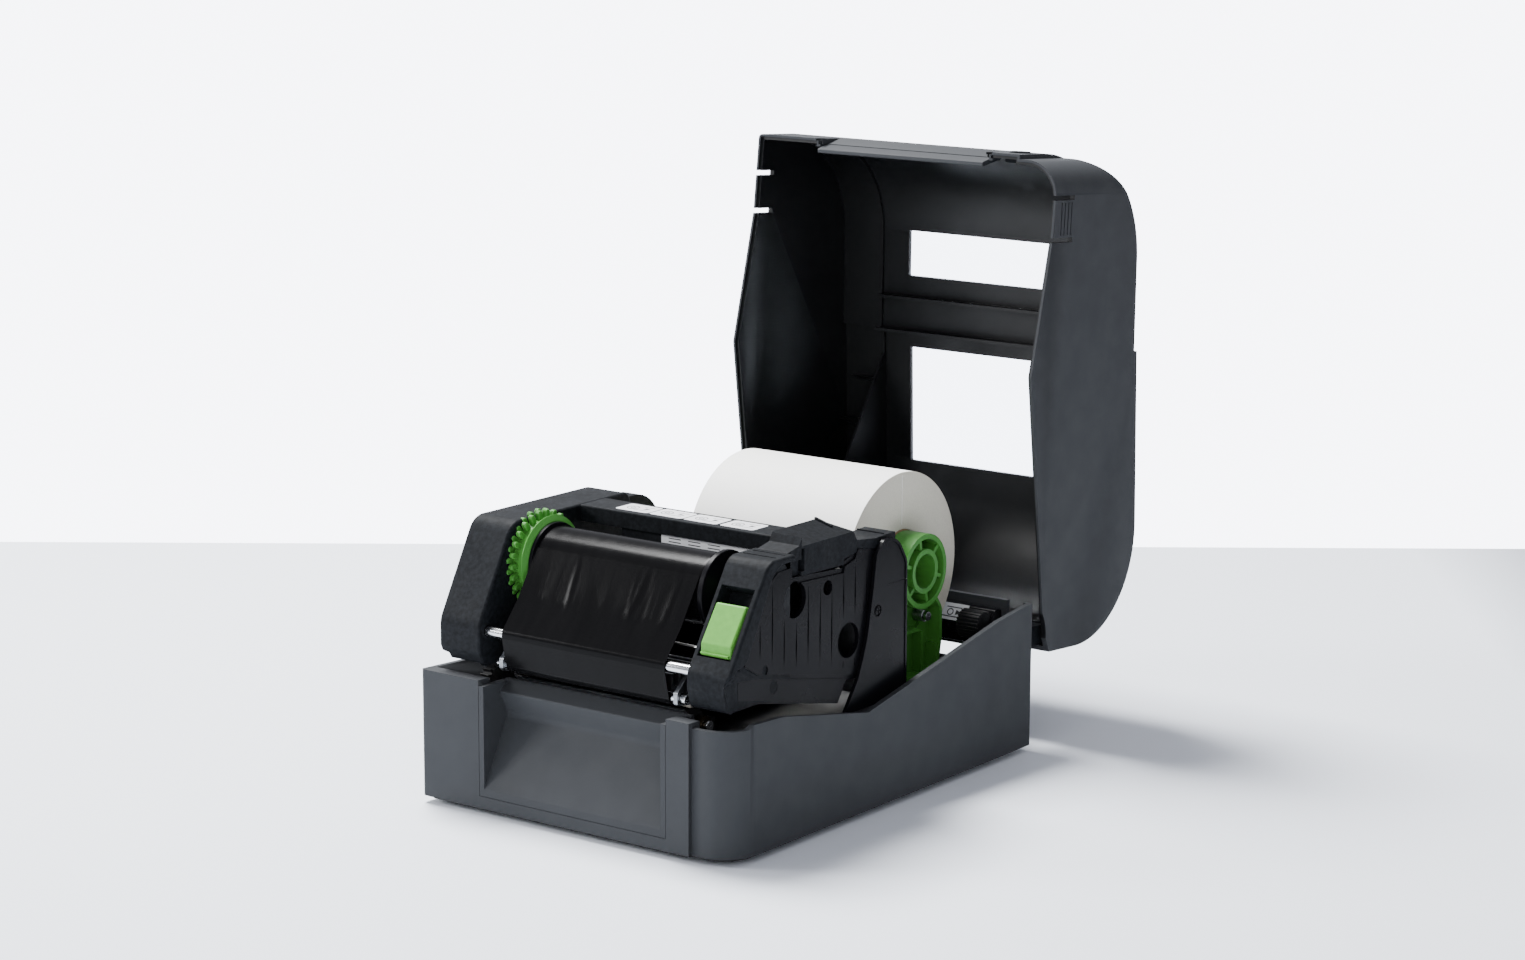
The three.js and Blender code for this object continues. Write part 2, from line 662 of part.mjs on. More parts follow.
function frameArm(x0, x1) {
  const arm = outline([[121, 84], [PIVOT_Y - 6, PIVOT_Z - 16, 8], [PIVOT_Y + 14, PIVOT_Z - 10, 13],
    [PIVOT_Y + 14, PIVOT_Z + 16, 13], [128, CHEEK_TOP - 8], [121, CHEEK_TOP - 8]]);
  return cut(alongX(arm, x0, x1), rod("x", PIVOT_PIN + RUN, x0 - 1, x1 + 1, PIVOT_Y, PIVOT_Z));
}

const CHEEK_LOW = 77;
function bearingHole(y, z, r, side) {
  const inner = side < 0 ? -CHEEK_IN - 4 : CHEEK_IN - 1;
  return rod("x", r, inner, inner + 5, y, z);
}

function leftCheek() {
  const hollow = alongX(cheekShape(CHEEK_WALL, 40), -CHEEK_OUT + CHEEK_WALL, -CHEEK_IN - CHEEK_WALL);
  const body = cut(
    alongX(cheekShape(0, CHEEK_LOW), -CHEEK_OUT, -CHEEK_IN),
    hollow,
    bearingHole(REWIND_Y, REWIND_Z, 5, -1),
    bearingHole(SUPPLY_Y, SUPPLY_Z, 5, -1),
    bearingHole(UPPER_SHAFT[0], UPPER_SHAFT[1], SHAFT_RADIUS + GAP, -1),
  );
  return join(body, frameArm(-CHEEK_IN - CHEEK_WALL, -CHEEK_IN));
}

const UPPER_SHAFT = [14, 96];
const LOWER_SHAFT = [17.5, 79.3];
const BUTTON_X0 = 71;
const BUTTON_X1 = 90.8;

const slopeDir = new THREE.Vector2(34.5 - 7, CHEEK_TOP - 100).normalize();
const slopeIn = new THREE.Vector2(slopeDir.y, -slopeDir.x);
const slopePoint = (along, deep) => {
  const start = new THREE.Vector2(9, 100);
  const p = start.addScaledVector(slopeDir, along).addScaledVector(slopeIn, deep);
  return [p.x, p.y];
};

function rightCheek() {
  const rear = 60;
  const shape = (grow, low) => outline([
    [11 + grow, low, grow > 0 ? 0 : 5],
    [9 + grow, 88, grow > 0 ? 0 : 4],
    [9 + grow, 98, 12],
    [37 + grow * 0.6, CHEEK_TOP - 1 - grow, 9],
    [rear, CHEEK_TOP - 1 - grow],
    [rear, low],
  ].reverse());
  const x0 = CHEEK_IN + 1.5;
  const hollow = alongX(shape(CHEEK_WALL, 40), x0 + CHEEK_WALL, CHEEK_OUT - CHEEK_WALL);
  const pocketCorners = [[0, -6], [38, -6], [38, 12], [0, 12]];
  const pocket = outline(pocketCorners.map(([along, out]) => slopePoint(along, out)).reverse());
  const plate = outline([[40, 84], [60, CHEEK_TOP - 12], [126, CHEEK_TOP - 12], [126, 84]].reverse());
  const body = cut(
    join(alongX(shape(0, CHEEK_LOW), x0, CHEEK_OUT), alongX(plate, x0, x0 + CHEEK_WALL)),
    hollow,
    alongX(pocket, BUTTON_X0 - GAP - 0.2, BUTTON_X1 + GAP + 0.2),
    bearingHole(REWIND_Y, REWIND_Z, 5, 1),
    bearingHole(SUPPLY_Y, SUPPLY_Z, 5, 1),
    bearingHole(UPPER_SHAFT[0], UPPER_SHAFT[1], SHAFT_RADIUS + GAP, 1),
  );
  const swing = alongZ(plan(WALL + 1), 0, 200);
  return join(body.intersect(swing), frameArm(x0, x0 + CHEEK_WALL));
}

function sideCover() {
  const skin = outline([[61, 84], [61, 140, 3], [112, 136], [118, 141.7], [146, 141.7, 4], [145.5, 129, 20],
    [134, 84, 20], [122, 62, 6], [64, 62, 4]].reverse());
  const low = outline([[20, 66, 2], [20, 76, 2], [64, 76], [64, 66]].reverse());
  const x1 = 90.5;
  const x0 = x1 - CHEEK_WALL;
  const body = join(alongX(skin, x0, x1), alongX(rect(60.3, 62.8, 64, 139), 73, x1), alongX(low, x0, x1));
  return cut(
    body,
    rod("x", 9.7, 70, 100, 70.8 + 6, 124),
    rod("x", 9.7, 70, 100, 117, 94.7),
    rod("x", 3.7, 70, 100, 96, 127),
    rod("x", PIVOT_PIN + RUN, 70, 100, PIVOT_Y, PIVOT_Z),
  );
}

function clutchHousing() {
  const ridge = CHEEK_TOP + 9;
  const hump = [[60.5, CHEEK_TOP + 4, 2], [78, ridge, 2], [92, ridge, 2], [116, CHEEK_TOP + 3, 2]];
  const tail = [[130, 143.5], [160, 143.5], [160, 142], [118, 142.3], [112, 138], [62, 141]];
  const top = outline([...hump, ...tail].reverse());
  const x0 = CHEEK_IN + 1.5 + CHEEK_WALL + GAP;
  const body = alongX(top, x0, 90.5);
  const back = block(x0, 90.5, 60.3, 62.5, 100, 141);
  return cut(body, back);
}

function topBar() {
  const y0 = 90;
  const y1 = 112;
  const x = CHEEK_IN - GAP;
  const low = CHEEK_TOP - 11;
  const wall = 2.5;
  const outside = [[y0, low], [y0, CHEEK_TOP, 1], [y1, CHEEK_TOP, 1], [y1, low]];
  const under = CHEEK_TOP - wall;
  const inside = [[y1 - wall, low], [y1 - wall, under], [y0 + wall, under], [y0 + wall, low]];
  const shape = outline([...outside, ...inside].reverse());
  return alongX(shape, -x, x + 1.2);
}

function spindle(x0, x1, radius, y, z) {
  return rod("x", radius, x0, x1, y, z, 20);
}

add("left_cheek", leftCheek(), frameBlack());
add("right_cheek", rightCheek(), frameBlack());
add("side_cover", sideCover(), glossBlack());
add("clutch_housing", clutchHousing(), frameBlack());
add("top_bar", topBar(), frameBlack());
add("upper_ribbon_shaft", rod("x", SHAFT_RADIUS, -CHEEK_IN - 2, CHEEK_IN + 3.4, ...UPPER_SHAFT, 20), steel());
add("lower_ribbon_shaft", rod("x", 2.4, -HEAD_HALF - 3.4, HEAD_HALF + 3.4, ...LOWER_SHAFT, 20), steel());

const HEAD_Z = PLATEN_Z + PLATEN_RADIUS + 1.7;

function headBracket() {
  const top = HEAD_Z + 4.3;
  const sides = (x) => alongX(outline([[13.5, 76.2, 2], [13.5, 82.5, 2], [24, 92], [70, 92], [70, HEAD_Z + 3],
    [24, HEAD_Z + 3]].reverse()), x, x + 2.5);
  const plate = block(-HEAD_HALF, HEAD_HALF, 26, 70, top, top + 2.2);
  const wing = (x0, x1) => block(x0, x1, 46, 66, 88, 92);
  return cut(
    join(plate, sides(-HEAD_HALF), sides(HEAD_HALF - 2.5), wing(-CHEEK_IN + GAP, -HEAD_HALF + 1),
      wing(HEAD_HALF - 1, CHEEK_IN + 1.2)),
    rod("x", 2.4 + GAP, -70, 70, ...LOWER_SHAFT, 20),
  );
}

add("head_bracket", headBracket(), finish(0x7d8084, 0.4, 1));
add("print_head", join(
  block(-MEDIA_HALF - 2, MEDIA_HALF + 2, 28, 52, HEAD_Z, HEAD_Z + 4),
  block(-MEDIA_HALF - 2, MEDIA_HALF + 2, 32.5, 35.5, HEAD_Z - 0.3, HEAD_Z + 1),
), finish(0xd9d4c8, 0.35));
add("heatsink", heatsink(), finish(0xaeb1b5, 0.35, 1));

function heatsink() {
  const z = HEAD_Z + 4.3 + 2.2 + GAP;
  const fins = [];
  for (let y = 28; y < 60; y += 6) {
    fins.push(block(-44, 44, y, y + 1.6, z + 1.5, z + 9));
  }
  return join(block(-44, 44, 28, 60, z, z + 2), ...fins);
}

// ---- ribbon ----
function rewindGear() {
  const shape = gearShape(REWIND_TEETH, 25, REWIND_TIP - 25, 1.6, 0, 0.16, 0.24);
  const face = alongX(shape, -CHEEK_IN + RUN + 0.2, -CHEEK_IN + RUN + 6.2).translate([0, REWIND_Y, REWIND_Z]);
  return join(
    face,
    rod("x", 22.6, -CHEEK_IN + RUN + 5, -RIBBON_HALF - 3.4, REWIND_Y, REWIND_Z, ROUND_STEPS),
    rod("x", 21, -RIBBON_HALF - 4, -RIBBON_HALF - 0.4, REWIND_Y, REWIND_Z, ROUND_STEPS),
    spindle(-CHEEK_IN - 2.2, CHEEK_IN + 3.4, 4.6, REWIND_Y, REWIND_Z),
  );
}

const CORE_RADIUS = 8.6;
const CORE_TUBE_BORE = 4.6 + GAP;
function ribbonRoll(radius, y, z) {
  return tube("x", radius, CORE_RADIUS + GAP, -RIBBON_HALF, RIBBON_HALF, y, z, 48);
}
function ribbonCore(y, z) {
  return tube("x", CORE_RADIUS, CORE_TUBE_BORE, -RIBBON_HALF + 0.6, RIBBON_HALF + 1.2, y, z, 28);
}
add("rewind_gear", rewindGear(), green());
add("rewind_core", ribbonCore(REWIND_Y, REWIND_Z), finish(0xa98f6b, 0.85));
add("used_ribbon_roll", ribbonRoll(REWIND_RADIUS, REWIND_Y, REWIND_Z), ribbonFilm());
add(
  "rewind_flange",
  tube("x", 21.5, 4.6 + GAP, RIBBON_HALF + 2, RIBBON_HALF + 5, REWIND_Y, REWIND_Z, ROUND_STEPS),
  glossBlack(),
);
add(
  "supply_spindle",
  join(
    spindle(-CHEEK_IN - 2.2, CHEEK_IN + 3.4, 4.6, SUPPLY_Y, SUPPLY_Z),
    rod("x", 17, -RIBBON_HALF - 5, -RIBBON_HALF - 0.4, SUPPLY_Y, SUPPLY_Z, 32),
  ),
  green(),
);
add("supply_core", ribbonCore(SUPPLY_Y, SUPPLY_Z), finish(0xa98f6b, 0.85));
add("fresh_ribbon_roll", ribbonRoll(SUPPLY_RADIUS, SUPPLY_Y, SUPPLY_Z), ribbonFilm());

const WEB = 0.35;
// Where a line from (y, z) just touches the front of a roll.
function tangent(y, z, rollY, rollZ, radius) {
  const away = new THREE.Vector2(y - rollY, z - rollZ);
  const turn = away.angle() - Math.acos(radius / away.length());
  return [rollY + radius * Math.cos(turn), rollZ + radius * Math.sin(turn)];
}

const ribbonBend = [24, 113.5];
const ribbonPath = [
  tangent(...ribbonBend, REWIND_Y, REWIND_Z, REWIND_RADIUS + WEB + GAP),
  ribbonBend,
  [10.8, 98],
  [10.7, 94.5],
  [14.3, 78.4],
  [16.6, 76],
  [28, HEAD_Z - 0.75],
  [52, HEAD_Z - 0.75],
  [74, 75],
  [SUPPLY_Y - 5, SUPPLY_Z - SUPPLY_RADIUS - 0.4],
];
add("ribbon_web", strip(ribbonPath, WEB, -RIBBON_HALF, RIBBON_HALF), ribbonFilm());

// ---- latch button ----
function latchButton() {
  const a = slopePoint(2.2, -2.2);
  const b = slopePoint(30.5, -1.2);
  const c = slopePoint(30.5, 5);
  const d = slopePoint(1.2, 6);
  const e = slopePoint(-0.2 + 0.6, 0.4);
  return alongX(outline([[...a, 1.2], [...b, 1.2], c, d, e].reverse()), BUTTON_X0, BUTTON_X1);
}

add("latch_button", latchButton(), green());

// ---- pivot pins of the frame ----
const pivotPin = (x0, x1) => rod("x", PIVOT_PIN, x0, x1, PIVOT_Y, PIVOT_Z);
add("pivot_pin_left", pivotPin(-CHEEK_OUT + CHEEK_WALL + RUN, -CHEEK_IN + 0.5), steel());
add("pivot_pin_right", pivotPin(CHEEK_IN + 1, CHEEK_OUT + 0.6), steel());

// ---- lid ----
// Side profile of the closed lid, offset inwards by `inset` with its open edge `drop` lower.
function lidProfile(inset, drop) {
  const rear = DEPTH - LID_INSET_REAR - inset;
  const slope = (y) => LID_FRONT_APEX + LID_STEP + 6.3 + (y - LID_STEP_Y) * LID_SLOPE - inset;
  const gap = 0.5;
  const edge = TOP_EDGE.slice(1, 5).map(([y, z]) => [y, z + gap - drop]).reverse();
  return outline([
    [inset, FRONT_HEIGHT + gap - drop],
    ...edge.reverse(),
    [DEPTH - 18, REAR_HEIGHT - 0.6 + gap - drop],
    [rear, LID_REAR_BOTTOM - drop],
    [rear, slope(rear), LID_REAR_RADIUS - inset],
    [LID_STEP_Y + inset, slope(LID_STEP_Y)],
    [LID_STEP_Y + inset, LID_FRONT_APEX + 6.3 - inset],
    [inset, LID_FRONT_APEX - inset, LID_FRONT_RADIUS - inset],
  ]);
}

const windowSpan = { front: [54.8, 81.7], rear: [124.5, 193.5] };
const TAB = { y0: 23.3, y1: 43.9, slot: 2.9, top: 95, reach: 3 };

function lidShell() {
  let shell = alongZ(plan(0), 40, 200).intersect(alongX(lidProfile(0, 0), -HALF - 1, HALF + 1, 12));
  const hollow = alongZ(plan(WALL), -20, 200).intersect(alongX(lidProfile(WALL, 30), -HALF, HALF, 12));
  shell = cut(shell, hollow);
  const crossRib = (y) => block(-66, 66, y, y + 1.8, 156, 160 + (y > LID_STEP_Y ? 5 : 3.5));
  const lip = outline([[0.5, 94], [-2.6, 78], [-2.6, FRONT_HEIGHT + 0.5], [0.5, FRONT_HEIGHT + 0.5]]);
  shell = join(shell, crossRib(94), crossRib(114), alongX(lip, -57, 55));
  const slots = [TAB.y0 - TAB.slot, TAB.y1].map((y) => block(-REACH, REACH, y, y + TAB.slot, 50, TAB.top));
  const opening = ([y0, y1]) => block(-WINDOW_HALF, WINDOW_HALF, y0, y1, 140, 220);
  const windows = Object.values(windowSpan).map(opening);
  const swing = rod("x", HINGE_CLEAR_RADIUS, -HALF - 2, HALF + 2, HINGE_Y, HINGE_HEIGHT, 48);
  const button = rod("y", FEED_RADIUS + RUN, -2, 8, FEED_X, FEED_Z);
  return cut(shell, ...slots, ...windows, swing, button);
}

const FEED_Z = 92;
const FEED_RADIUS = 6;
const FEED_FLANGE = 2;
const FEED_X = CORNER_STEP_X - WALL - RUN - FEED_RADIUS - FEED_FLANGE;

function windowPane([y0, y1], start) {
  const clear = GAP;
  const slope = start === "front" ? 0.0564 : LID_SLOPE;
  const level = start === "front" ? LID_FRONT_APEX : LID_FRONT_APEX + LID_STEP + 6.3 - LID_STEP_Y * LID_SLOPE;
  const top = (y) => level + y * slope - 0.6;
  const a = y0 + clear;
  const b = y1 - clear;
  const pane = outline([[a, top(a) - 2], [b, top(b) - 2], [b, top(b)], [a, top(a)]]);
  return alongX(pane, -WINDOW_HALF + clear, WINDOW_HALF - clear);
}

function hingeArm(side) {
  const reach = 6.4;
  const rear = DEPTH - LID_INSET_REAR - WALL - GAP;
  const low = HINGE_HEIGHT - reach;
  const front = HINGE_Y - reach;
  const frontRound = reach - 0.4;
  const rearRound = rear - front - frontRound - 0.1;
  const upper = [[rear, 116], [rear - 4, 116], [front, 96]];
  const shape = outline([[front, low, frontRound], [rear, low, rearRound], ...upper]);
  const x0 = side * ARM_X - 4.6;
  const pinReach = ARM_X - 8 - RUN;
  const ends = side > 0 ? [pinReach, x0 + 5] : [x0 + 4, -pinReach];
  return join(alongX(shape, x0, x0 + 9.2), rod("x", HINGE_PIN, ...ends, HINGE_Y, HINGE_HEIGHT, 20));
}

lid.position.set(0, HINGE_Y, HINGE_HEIGHT);
lid.rotation.x = -radians(LID_OPEN_ANGLE);
const closedLid = new THREE.Group();
closedLid.position.set(0, -HINGE_Y, -HINGE_HEIGHT);
lid.add(closedLid);
add("lid_shell", lidShell(), casingGrey(), closedLid);
add("front_window", windowPane(windowSpan.front, "front"), finish(0xdfe6ea, 0.1), closedLid);
add("rear_window", windowPane(windowSpan.rear, "rear"), finish(0xdfe6ea, 0.1), closedLid);
add("hinge_arm_left", hingeArm(-1), frameBlack(), closedLid);
add("hinge_arm_right", hingeArm(1), frameBlack(), closedLid);
add(
  "feed_button",
  join(
    rod("y", FEED_RADIUS, -0.8, 5, FEED_X, FEED_Z, 28),
    rod("y", FEED_RADIUS + FEED_FLANGE, WALL + RUN, WALL + RUN + 2, FEED_X, FEED_Z, 28),
  ),
  frameBlack(),
  closedLid,
);
// The origin is the middle of the bounding box, at floor level.
machine.updateMatrixWorld(true);
const box = new THREE.Box3().setFromObject(machine, true);
design.position.y = -(box.min.y + box.max.y) / 2;

export default machine;
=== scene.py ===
"""The looks of a desktop label maker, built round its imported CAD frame.

Shapes are drawn in machine millimetres: X points right, Y runs back from the front face of the base
and Z points up from the floor. put() scales each finished piece into the frame, which is in metres.
"""
import json
import math
import random

import bmesh
import bpy
from mathutils import Matrix, Vector


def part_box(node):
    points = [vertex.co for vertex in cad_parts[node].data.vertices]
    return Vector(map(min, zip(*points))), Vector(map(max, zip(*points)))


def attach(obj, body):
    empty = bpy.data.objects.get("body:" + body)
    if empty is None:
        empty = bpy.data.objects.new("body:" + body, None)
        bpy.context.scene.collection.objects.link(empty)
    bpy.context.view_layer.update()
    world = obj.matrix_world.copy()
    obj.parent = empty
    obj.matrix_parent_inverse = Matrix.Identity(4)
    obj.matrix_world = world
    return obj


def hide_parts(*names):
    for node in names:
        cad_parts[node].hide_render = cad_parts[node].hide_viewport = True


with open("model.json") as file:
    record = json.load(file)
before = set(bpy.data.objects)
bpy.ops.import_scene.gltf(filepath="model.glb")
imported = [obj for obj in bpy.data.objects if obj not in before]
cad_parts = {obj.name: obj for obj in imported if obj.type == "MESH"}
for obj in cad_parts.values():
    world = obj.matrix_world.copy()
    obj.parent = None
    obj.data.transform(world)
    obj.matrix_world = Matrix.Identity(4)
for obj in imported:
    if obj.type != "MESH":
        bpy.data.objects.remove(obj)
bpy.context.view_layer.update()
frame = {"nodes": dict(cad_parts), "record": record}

MM = 0.001
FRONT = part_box("base_casing")[0].y
TO_FRAME = Matrix.Translation((0, FRONT, 0)) @ Matrix.Scale(MM, 4)
TO_MACHINE = TO_FRAME.inverted()


def span(node):
    """Lowest and highest corner of a CAD node, in machine millimetres."""
    low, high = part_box(node)
    return TO_MACHINE @ low, TO_MACHINE @ high


def middle(node):
    low, high = span(node)
    return (low + high) / 2


# ---- shape kit ----
def outline(points, turn=5.0):
    """A closed outline from (u, v, corner radius) points, with arcs of about `turn` degrees a step."""
    made = []
    count = len(points)
    for i, point in enumerate(points):
        here = Vector(point[:2])
        radius = point[2] if len(point) > 2 else 0
        if radius <= 0:
            made.append(here)
            continue
        before = (Vector(points[i - 1][:2]) - here).normalized()
        after = (Vector(points[(i + 1) % count][:2]) - here).normalized()
        half = math.acos(max(-1, min(1, before.dot(after)))) / 2
        centre = here + (before + after).normalized() * radius / math.sin(half)
        start = here + before * radius / math.tan(half) - centre
        sweep = math.pi - 2 * half
        side = 1 if before.x * after.y - before.y * after.x < 0 else -1
        steps = max(1, round(math.degrees(sweep) / turn))
        for k in range(steps + 1):
            made.append(centre + Matrix.Rotation(side * sweep * k / steps, 2) @ start)
    return made


def circle(radius, u=0.0, v=0.0, sides=48, phase=0.0):
    angles = [phase + 2 * math.pi * k / sides for k in range(sides)]
    return [Vector((u + radius * math.cos(a), v + radius * math.sin(a))) for a in angles]


def solid(vertices, faces, finish=0):
    """A temporary object of one closed surface, all of whose faces use one finish."""
    shape = bmesh.new()
    corners = [shape.verts.new(v) for v in vertices]
    for face in faces:
        shape.faces.new([corners[i] for i in face]).material_index = finish
    bmesh.ops.recalc_face_normals(shape, faces=shape.faces)
    mesh = bpy.data.meshes.new("shape")
    shape.to_mesh(mesh)
    shape.free()
    made = bpy.data.objects.new("shape", mesh)
    bpy.context.scene.collection.objects.link(made)
    return made


AXES = {
    "x": lambda u, v, w: (w, u, v),
    "y": lambda u, v, w: (u, w, v),
    "z": lambda u, v, w: (u, v, w),
}


def prism(axis, points, start, end, finish=0):
    """An outline run along an axis: (y, z) along x, (x, z) along y or (x, y) along z."""
    at = AXES[axis]
    count = len(points)
    vertices = [at(p[0], p[1], w) for w in (start, end) for p in points]
    sides = [(i, (i + 1) % count, count + (i + 1) % count, count + i) for i in range(count)]
    return solid(vertices, [tuple(range(count)), tuple(range(count, 2 * count))] + sides, finish)


def block(x0, x1, y0, y1, z0, z1, finish=0):
    return prism("z", [(x0, y0), (x1, y0), (x1, y1), (x0, y1)], z0, z1, finish)


def rod(axis, radius, start, end, u, v, sides=48, finish=0):
    return prism(axis, circle(radius, u, v, sides), start, end, finish)


def turned(axis, profile, u, v, sides=72, finish=0):
    """A closed (distance along, radius) profile turned round an axis through (u, v)."""
    at = AXES[axis]
    vertices = []
    for k in range(sides):
        a = 2 * math.pi * k / sides
        vertices += [at(u + r * math.cos(a), v + r * math.sin(a), w) for w, r in profile]
    n = len(profile)
    faces = []
    for k in range(sides):
        here, there = k * n, ((k + 1) % sides) * n
        faces += [(here + i, here + (i + 1) % n, there + (i + 1) % n, there + i) for i in range(n)]
    return solid(vertices, faces, finish)


def settle(piece):
    """The piece's modifiers become part of its mesh."""
    graph = bpy.context.evaluated_depsgraph_get()
    made = bpy.data.meshes.new_from_object(piece.evaluated_get(graph))
    piece.modifiers.clear()
    piece.data = made
    return piece


def combine(first, others, operation):
    for tool in others:
        step = first.modifiers.new("step", "BOOLEAN")
        step.operation = operation
        step.solver = "EXACT"
        step.object = tool
    settle(first)
    for tool in others:
        bpy.data.objects.remove(tool)
    return first


def join(first, *others):
    return combine(first, others, "UNION")


def cut(first, *others):
    return combine(first, others, "DIFFERENCE")


def overlap(first, *others):
    return combine(first, others, "INTERSECT")


def gather(first, *others):
    """Several shapes as one piece, without cutting any of them."""
    shape = bmesh.new()
    for one in (first, *others):
        shape.from_mesh(one.data)
    shape.to_mesh(first.data)
    shape.free()
    for one in others:
        bpy.data.objects.remove(one)
    return first


def moved(piece, matrix):
    piece.data.transform(matrix)
    return piece


def mirrored(piece):
    piece.data.transform(Matrix.Scale(-1, 4, (1, 0, 0)))
    piece.data.flip_normals()
    return piece


def cad_copy(node):
    """A CAD node's shape, merged and with its flat faces whole, in machine millimetres."""
    mesh = frame["nodes"][node].data.copy()
    mesh.materials.clear()
    mesh.transform(TO_MACHINE)
    shape = bmesh.new()
    shape.from_mesh(mesh)
    for face in shape.faces:
        face.material_index = 0
    bmesh.ops.remove_doubles(shape, verts=shape.verts, dist=0.003)
    bmesh.ops.dissolve_limit(shape, angle_limit=math.radians(0.5), verts=shape.verts, edges=shape.edges)
    shape.to_mesh(mesh)
    shape.free()
    made = bpy.data.objects.new("shape", mesh)
    bpy.context.scene.collection.objects.link(made)
    return made


def soften(piece, width, steps=2, angle=30):
    """Rounds the sharp edges, as a moulded or rolled edge is."""
    shape = bmesh.new()
    shape.from_mesh(piece.data)
    bmesh.ops.remove_doubles(shape, verts=shape.verts, dist=0.002)
    bmesh.ops.dissolve_limit(
        shape, angle_limit=math.radians(0.4), verts=shape.verts, edges=shape.edges, delimit={"MATERIAL"}
    )
    shape.to_mesh(piece.data)
    shape.free()
    if width > 0:
        bevel = piece.modifiers.new("soft_edges", "BEVEL")
        bevel.width = width
        bevel.segments = steps
        bevel.limit_method = "ANGLE"
        bevel.angle_limit = math.radians(angle)
        bevel.use_clamp_overlap = True
        bevel.miter_outer = "MITER_ARC"
        settle(piece)
    return piece


def smooth(piece, angle=32):
    mesh = piece.data
    mesh.polygons.foreach_set("use_smooth", [True] * len(mesh.polygons))
    mesh.set_sharp_from_angle(angle=math.radians(angle))
    weigh = piece.modifiers.new("flat_faces", "WEIGHTED_NORMAL")
    weigh.keep_sharp = True
    return settle(piece)


def put(piece, name, body, finishes, slot, nodes=(), edge=0.35, steps=2, angle=30, shade=24):
    """Finishes a piece: soft edges, smooth shading, materials, its place in the frame and its body, and hides
    the CAD nodes it stands for.
    """
    soften(piece, edge, steps, angle)
    smooth(piece, shade)
    piece.name = name
    piece.data.name = name
    piece.data.transform(TO_FRAME)
    kept = [face.material_index for face in piece.data.polygons]
    piece.data.materials.clear()
    for one in finishes:
        piece.data.materials.append(one)
    piece.data.polygons.foreach_set("material_index", [min(k, len(finishes) - 1) for k in kept])
    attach(piece, body)
    if nodes:
        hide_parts(*nodes)
    return piece


# ---- finishes ----
def linear(code):
    """A hex colour as the shader's linear numbers."""
    parts = [int(code[i : i + 2], 16) / 255 for i in (0, 2, 4)]
    return [p / 12.92 if p <= 0.04045 else ((p + 0.055) / 1.055) ** 2.4 for p in parts] + [1.0]


class Finish:
    """A Principled material whose colour, roughness and relief come from noise on Object coordinates."""

    def __init__(self, name, colour, roughness, metallic=0.0, specular=0.5):
        self.made = bpy.data.materials.new(name)
        self.made.use_nodes = True
        self.nodes = self.made.node_tree.nodes
        self.links = self.made.node_tree.links
        self.shader = self.nodes["Principled BSDF"]
        self.place = self.nodes.new("ShaderNodeTexCoord").outputs["Object"]
        self.shader.inputs["Metallic"].default_value = metallic
        self.shader.inputs["Roughness"].default_value = roughness
        self.shader.inputs["Specular IOR Level"].default_value = specular
        self.roughness = roughness
        self.colour = linear(colour)
        self.shader.inputs["Base Color"].default_value = self.colour
        self.relief = None

    def noise(self, scale, detail=2.0, stretch=None):
        source = self.place
        if stretch:
            mapping = self.nodes.new("ShaderNodeMapping")
            mapping.inputs["Scale"].default_value = stretch
            self.links.new(source, mapping.inputs["Vector"])
            source = mapping.outputs["Vector"]
        made = self.nodes.new("ShaderNodeTexNoise")
        made.inputs["Scale"].default_value = scale
        made.inputs["Detail"].default_value = detail
        self.links.new(source, made.inputs["Vector"])
        return made.outputs["Fac"]

    def ranged(self, factor, low, high, start=0.3, end=0.7):
        made = self.nodes.new("ShaderNodeMapRange")
        for key, value in (("From Min", start), ("From Max", end), ("To Min", low), ("To Max", high)):
            made.inputs[key].default_value = value
        self.links.new(factor, made.inputs["Value"])
        return made.outputs["Result"]

    def mottled(self, scale, share, detail=3.0, stretch=None, other=None):
        """The colour drifts by a share of itself, or towards another colour."""
        mix = self.nodes.new("ShaderNodeMix")
        mix.data_type = "RGBA"
        dark = [c * (1 - share) for c in self.colour[:3]] + [1.0]
        light = [c * (1 + share) for c in self.colour[:3]] + [1.0]
        mix.inputs["A"].default_value = self.colour if other else dark
        mix.inputs["B"].default_value = linear(other) if other else light
        top = share if other else 1.0
        self.links.new(self.ranged(self.noise(scale, detail, stretch), 0.0, top), mix.inputs["Factor"])
        self.links.new(mix.outputs["Result"], self.shader.inputs["Base Color"])
        return self

    def uneven(self, scale, by, detail=3.0, stretch=None):
        """The roughness drifts up and down by `by`."""
        factor = self.noise(scale, detail, stretch)
        value = self.ranged(factor, self.roughness - by, self.roughness + by)
        self.links.new(value, self.shader.inputs["Roughness"])
        return self

    def grained(self, size, depth, strength=1.0, detail=2.0, stretch=None):
        """Relief `depth` mm deep with features of about `size` mm."""
        bump = self.nodes.new("ShaderNodeBump")
        bump.inputs["Distance"].default_value = depth * MM
        bump.inputs["Strength"].default_value = strength
        self.links.new(self.noise(1 / (size * MM) / 2, detail, stretch), bump.inputs["Height"])
        if self.relief:
            self.links.new(self.relief, bump.inputs["Normal"])
        self.relief = bump.outputs["Normal"]
        self.links.new(self.relief, self.shader.inputs["Normal"])
        return self


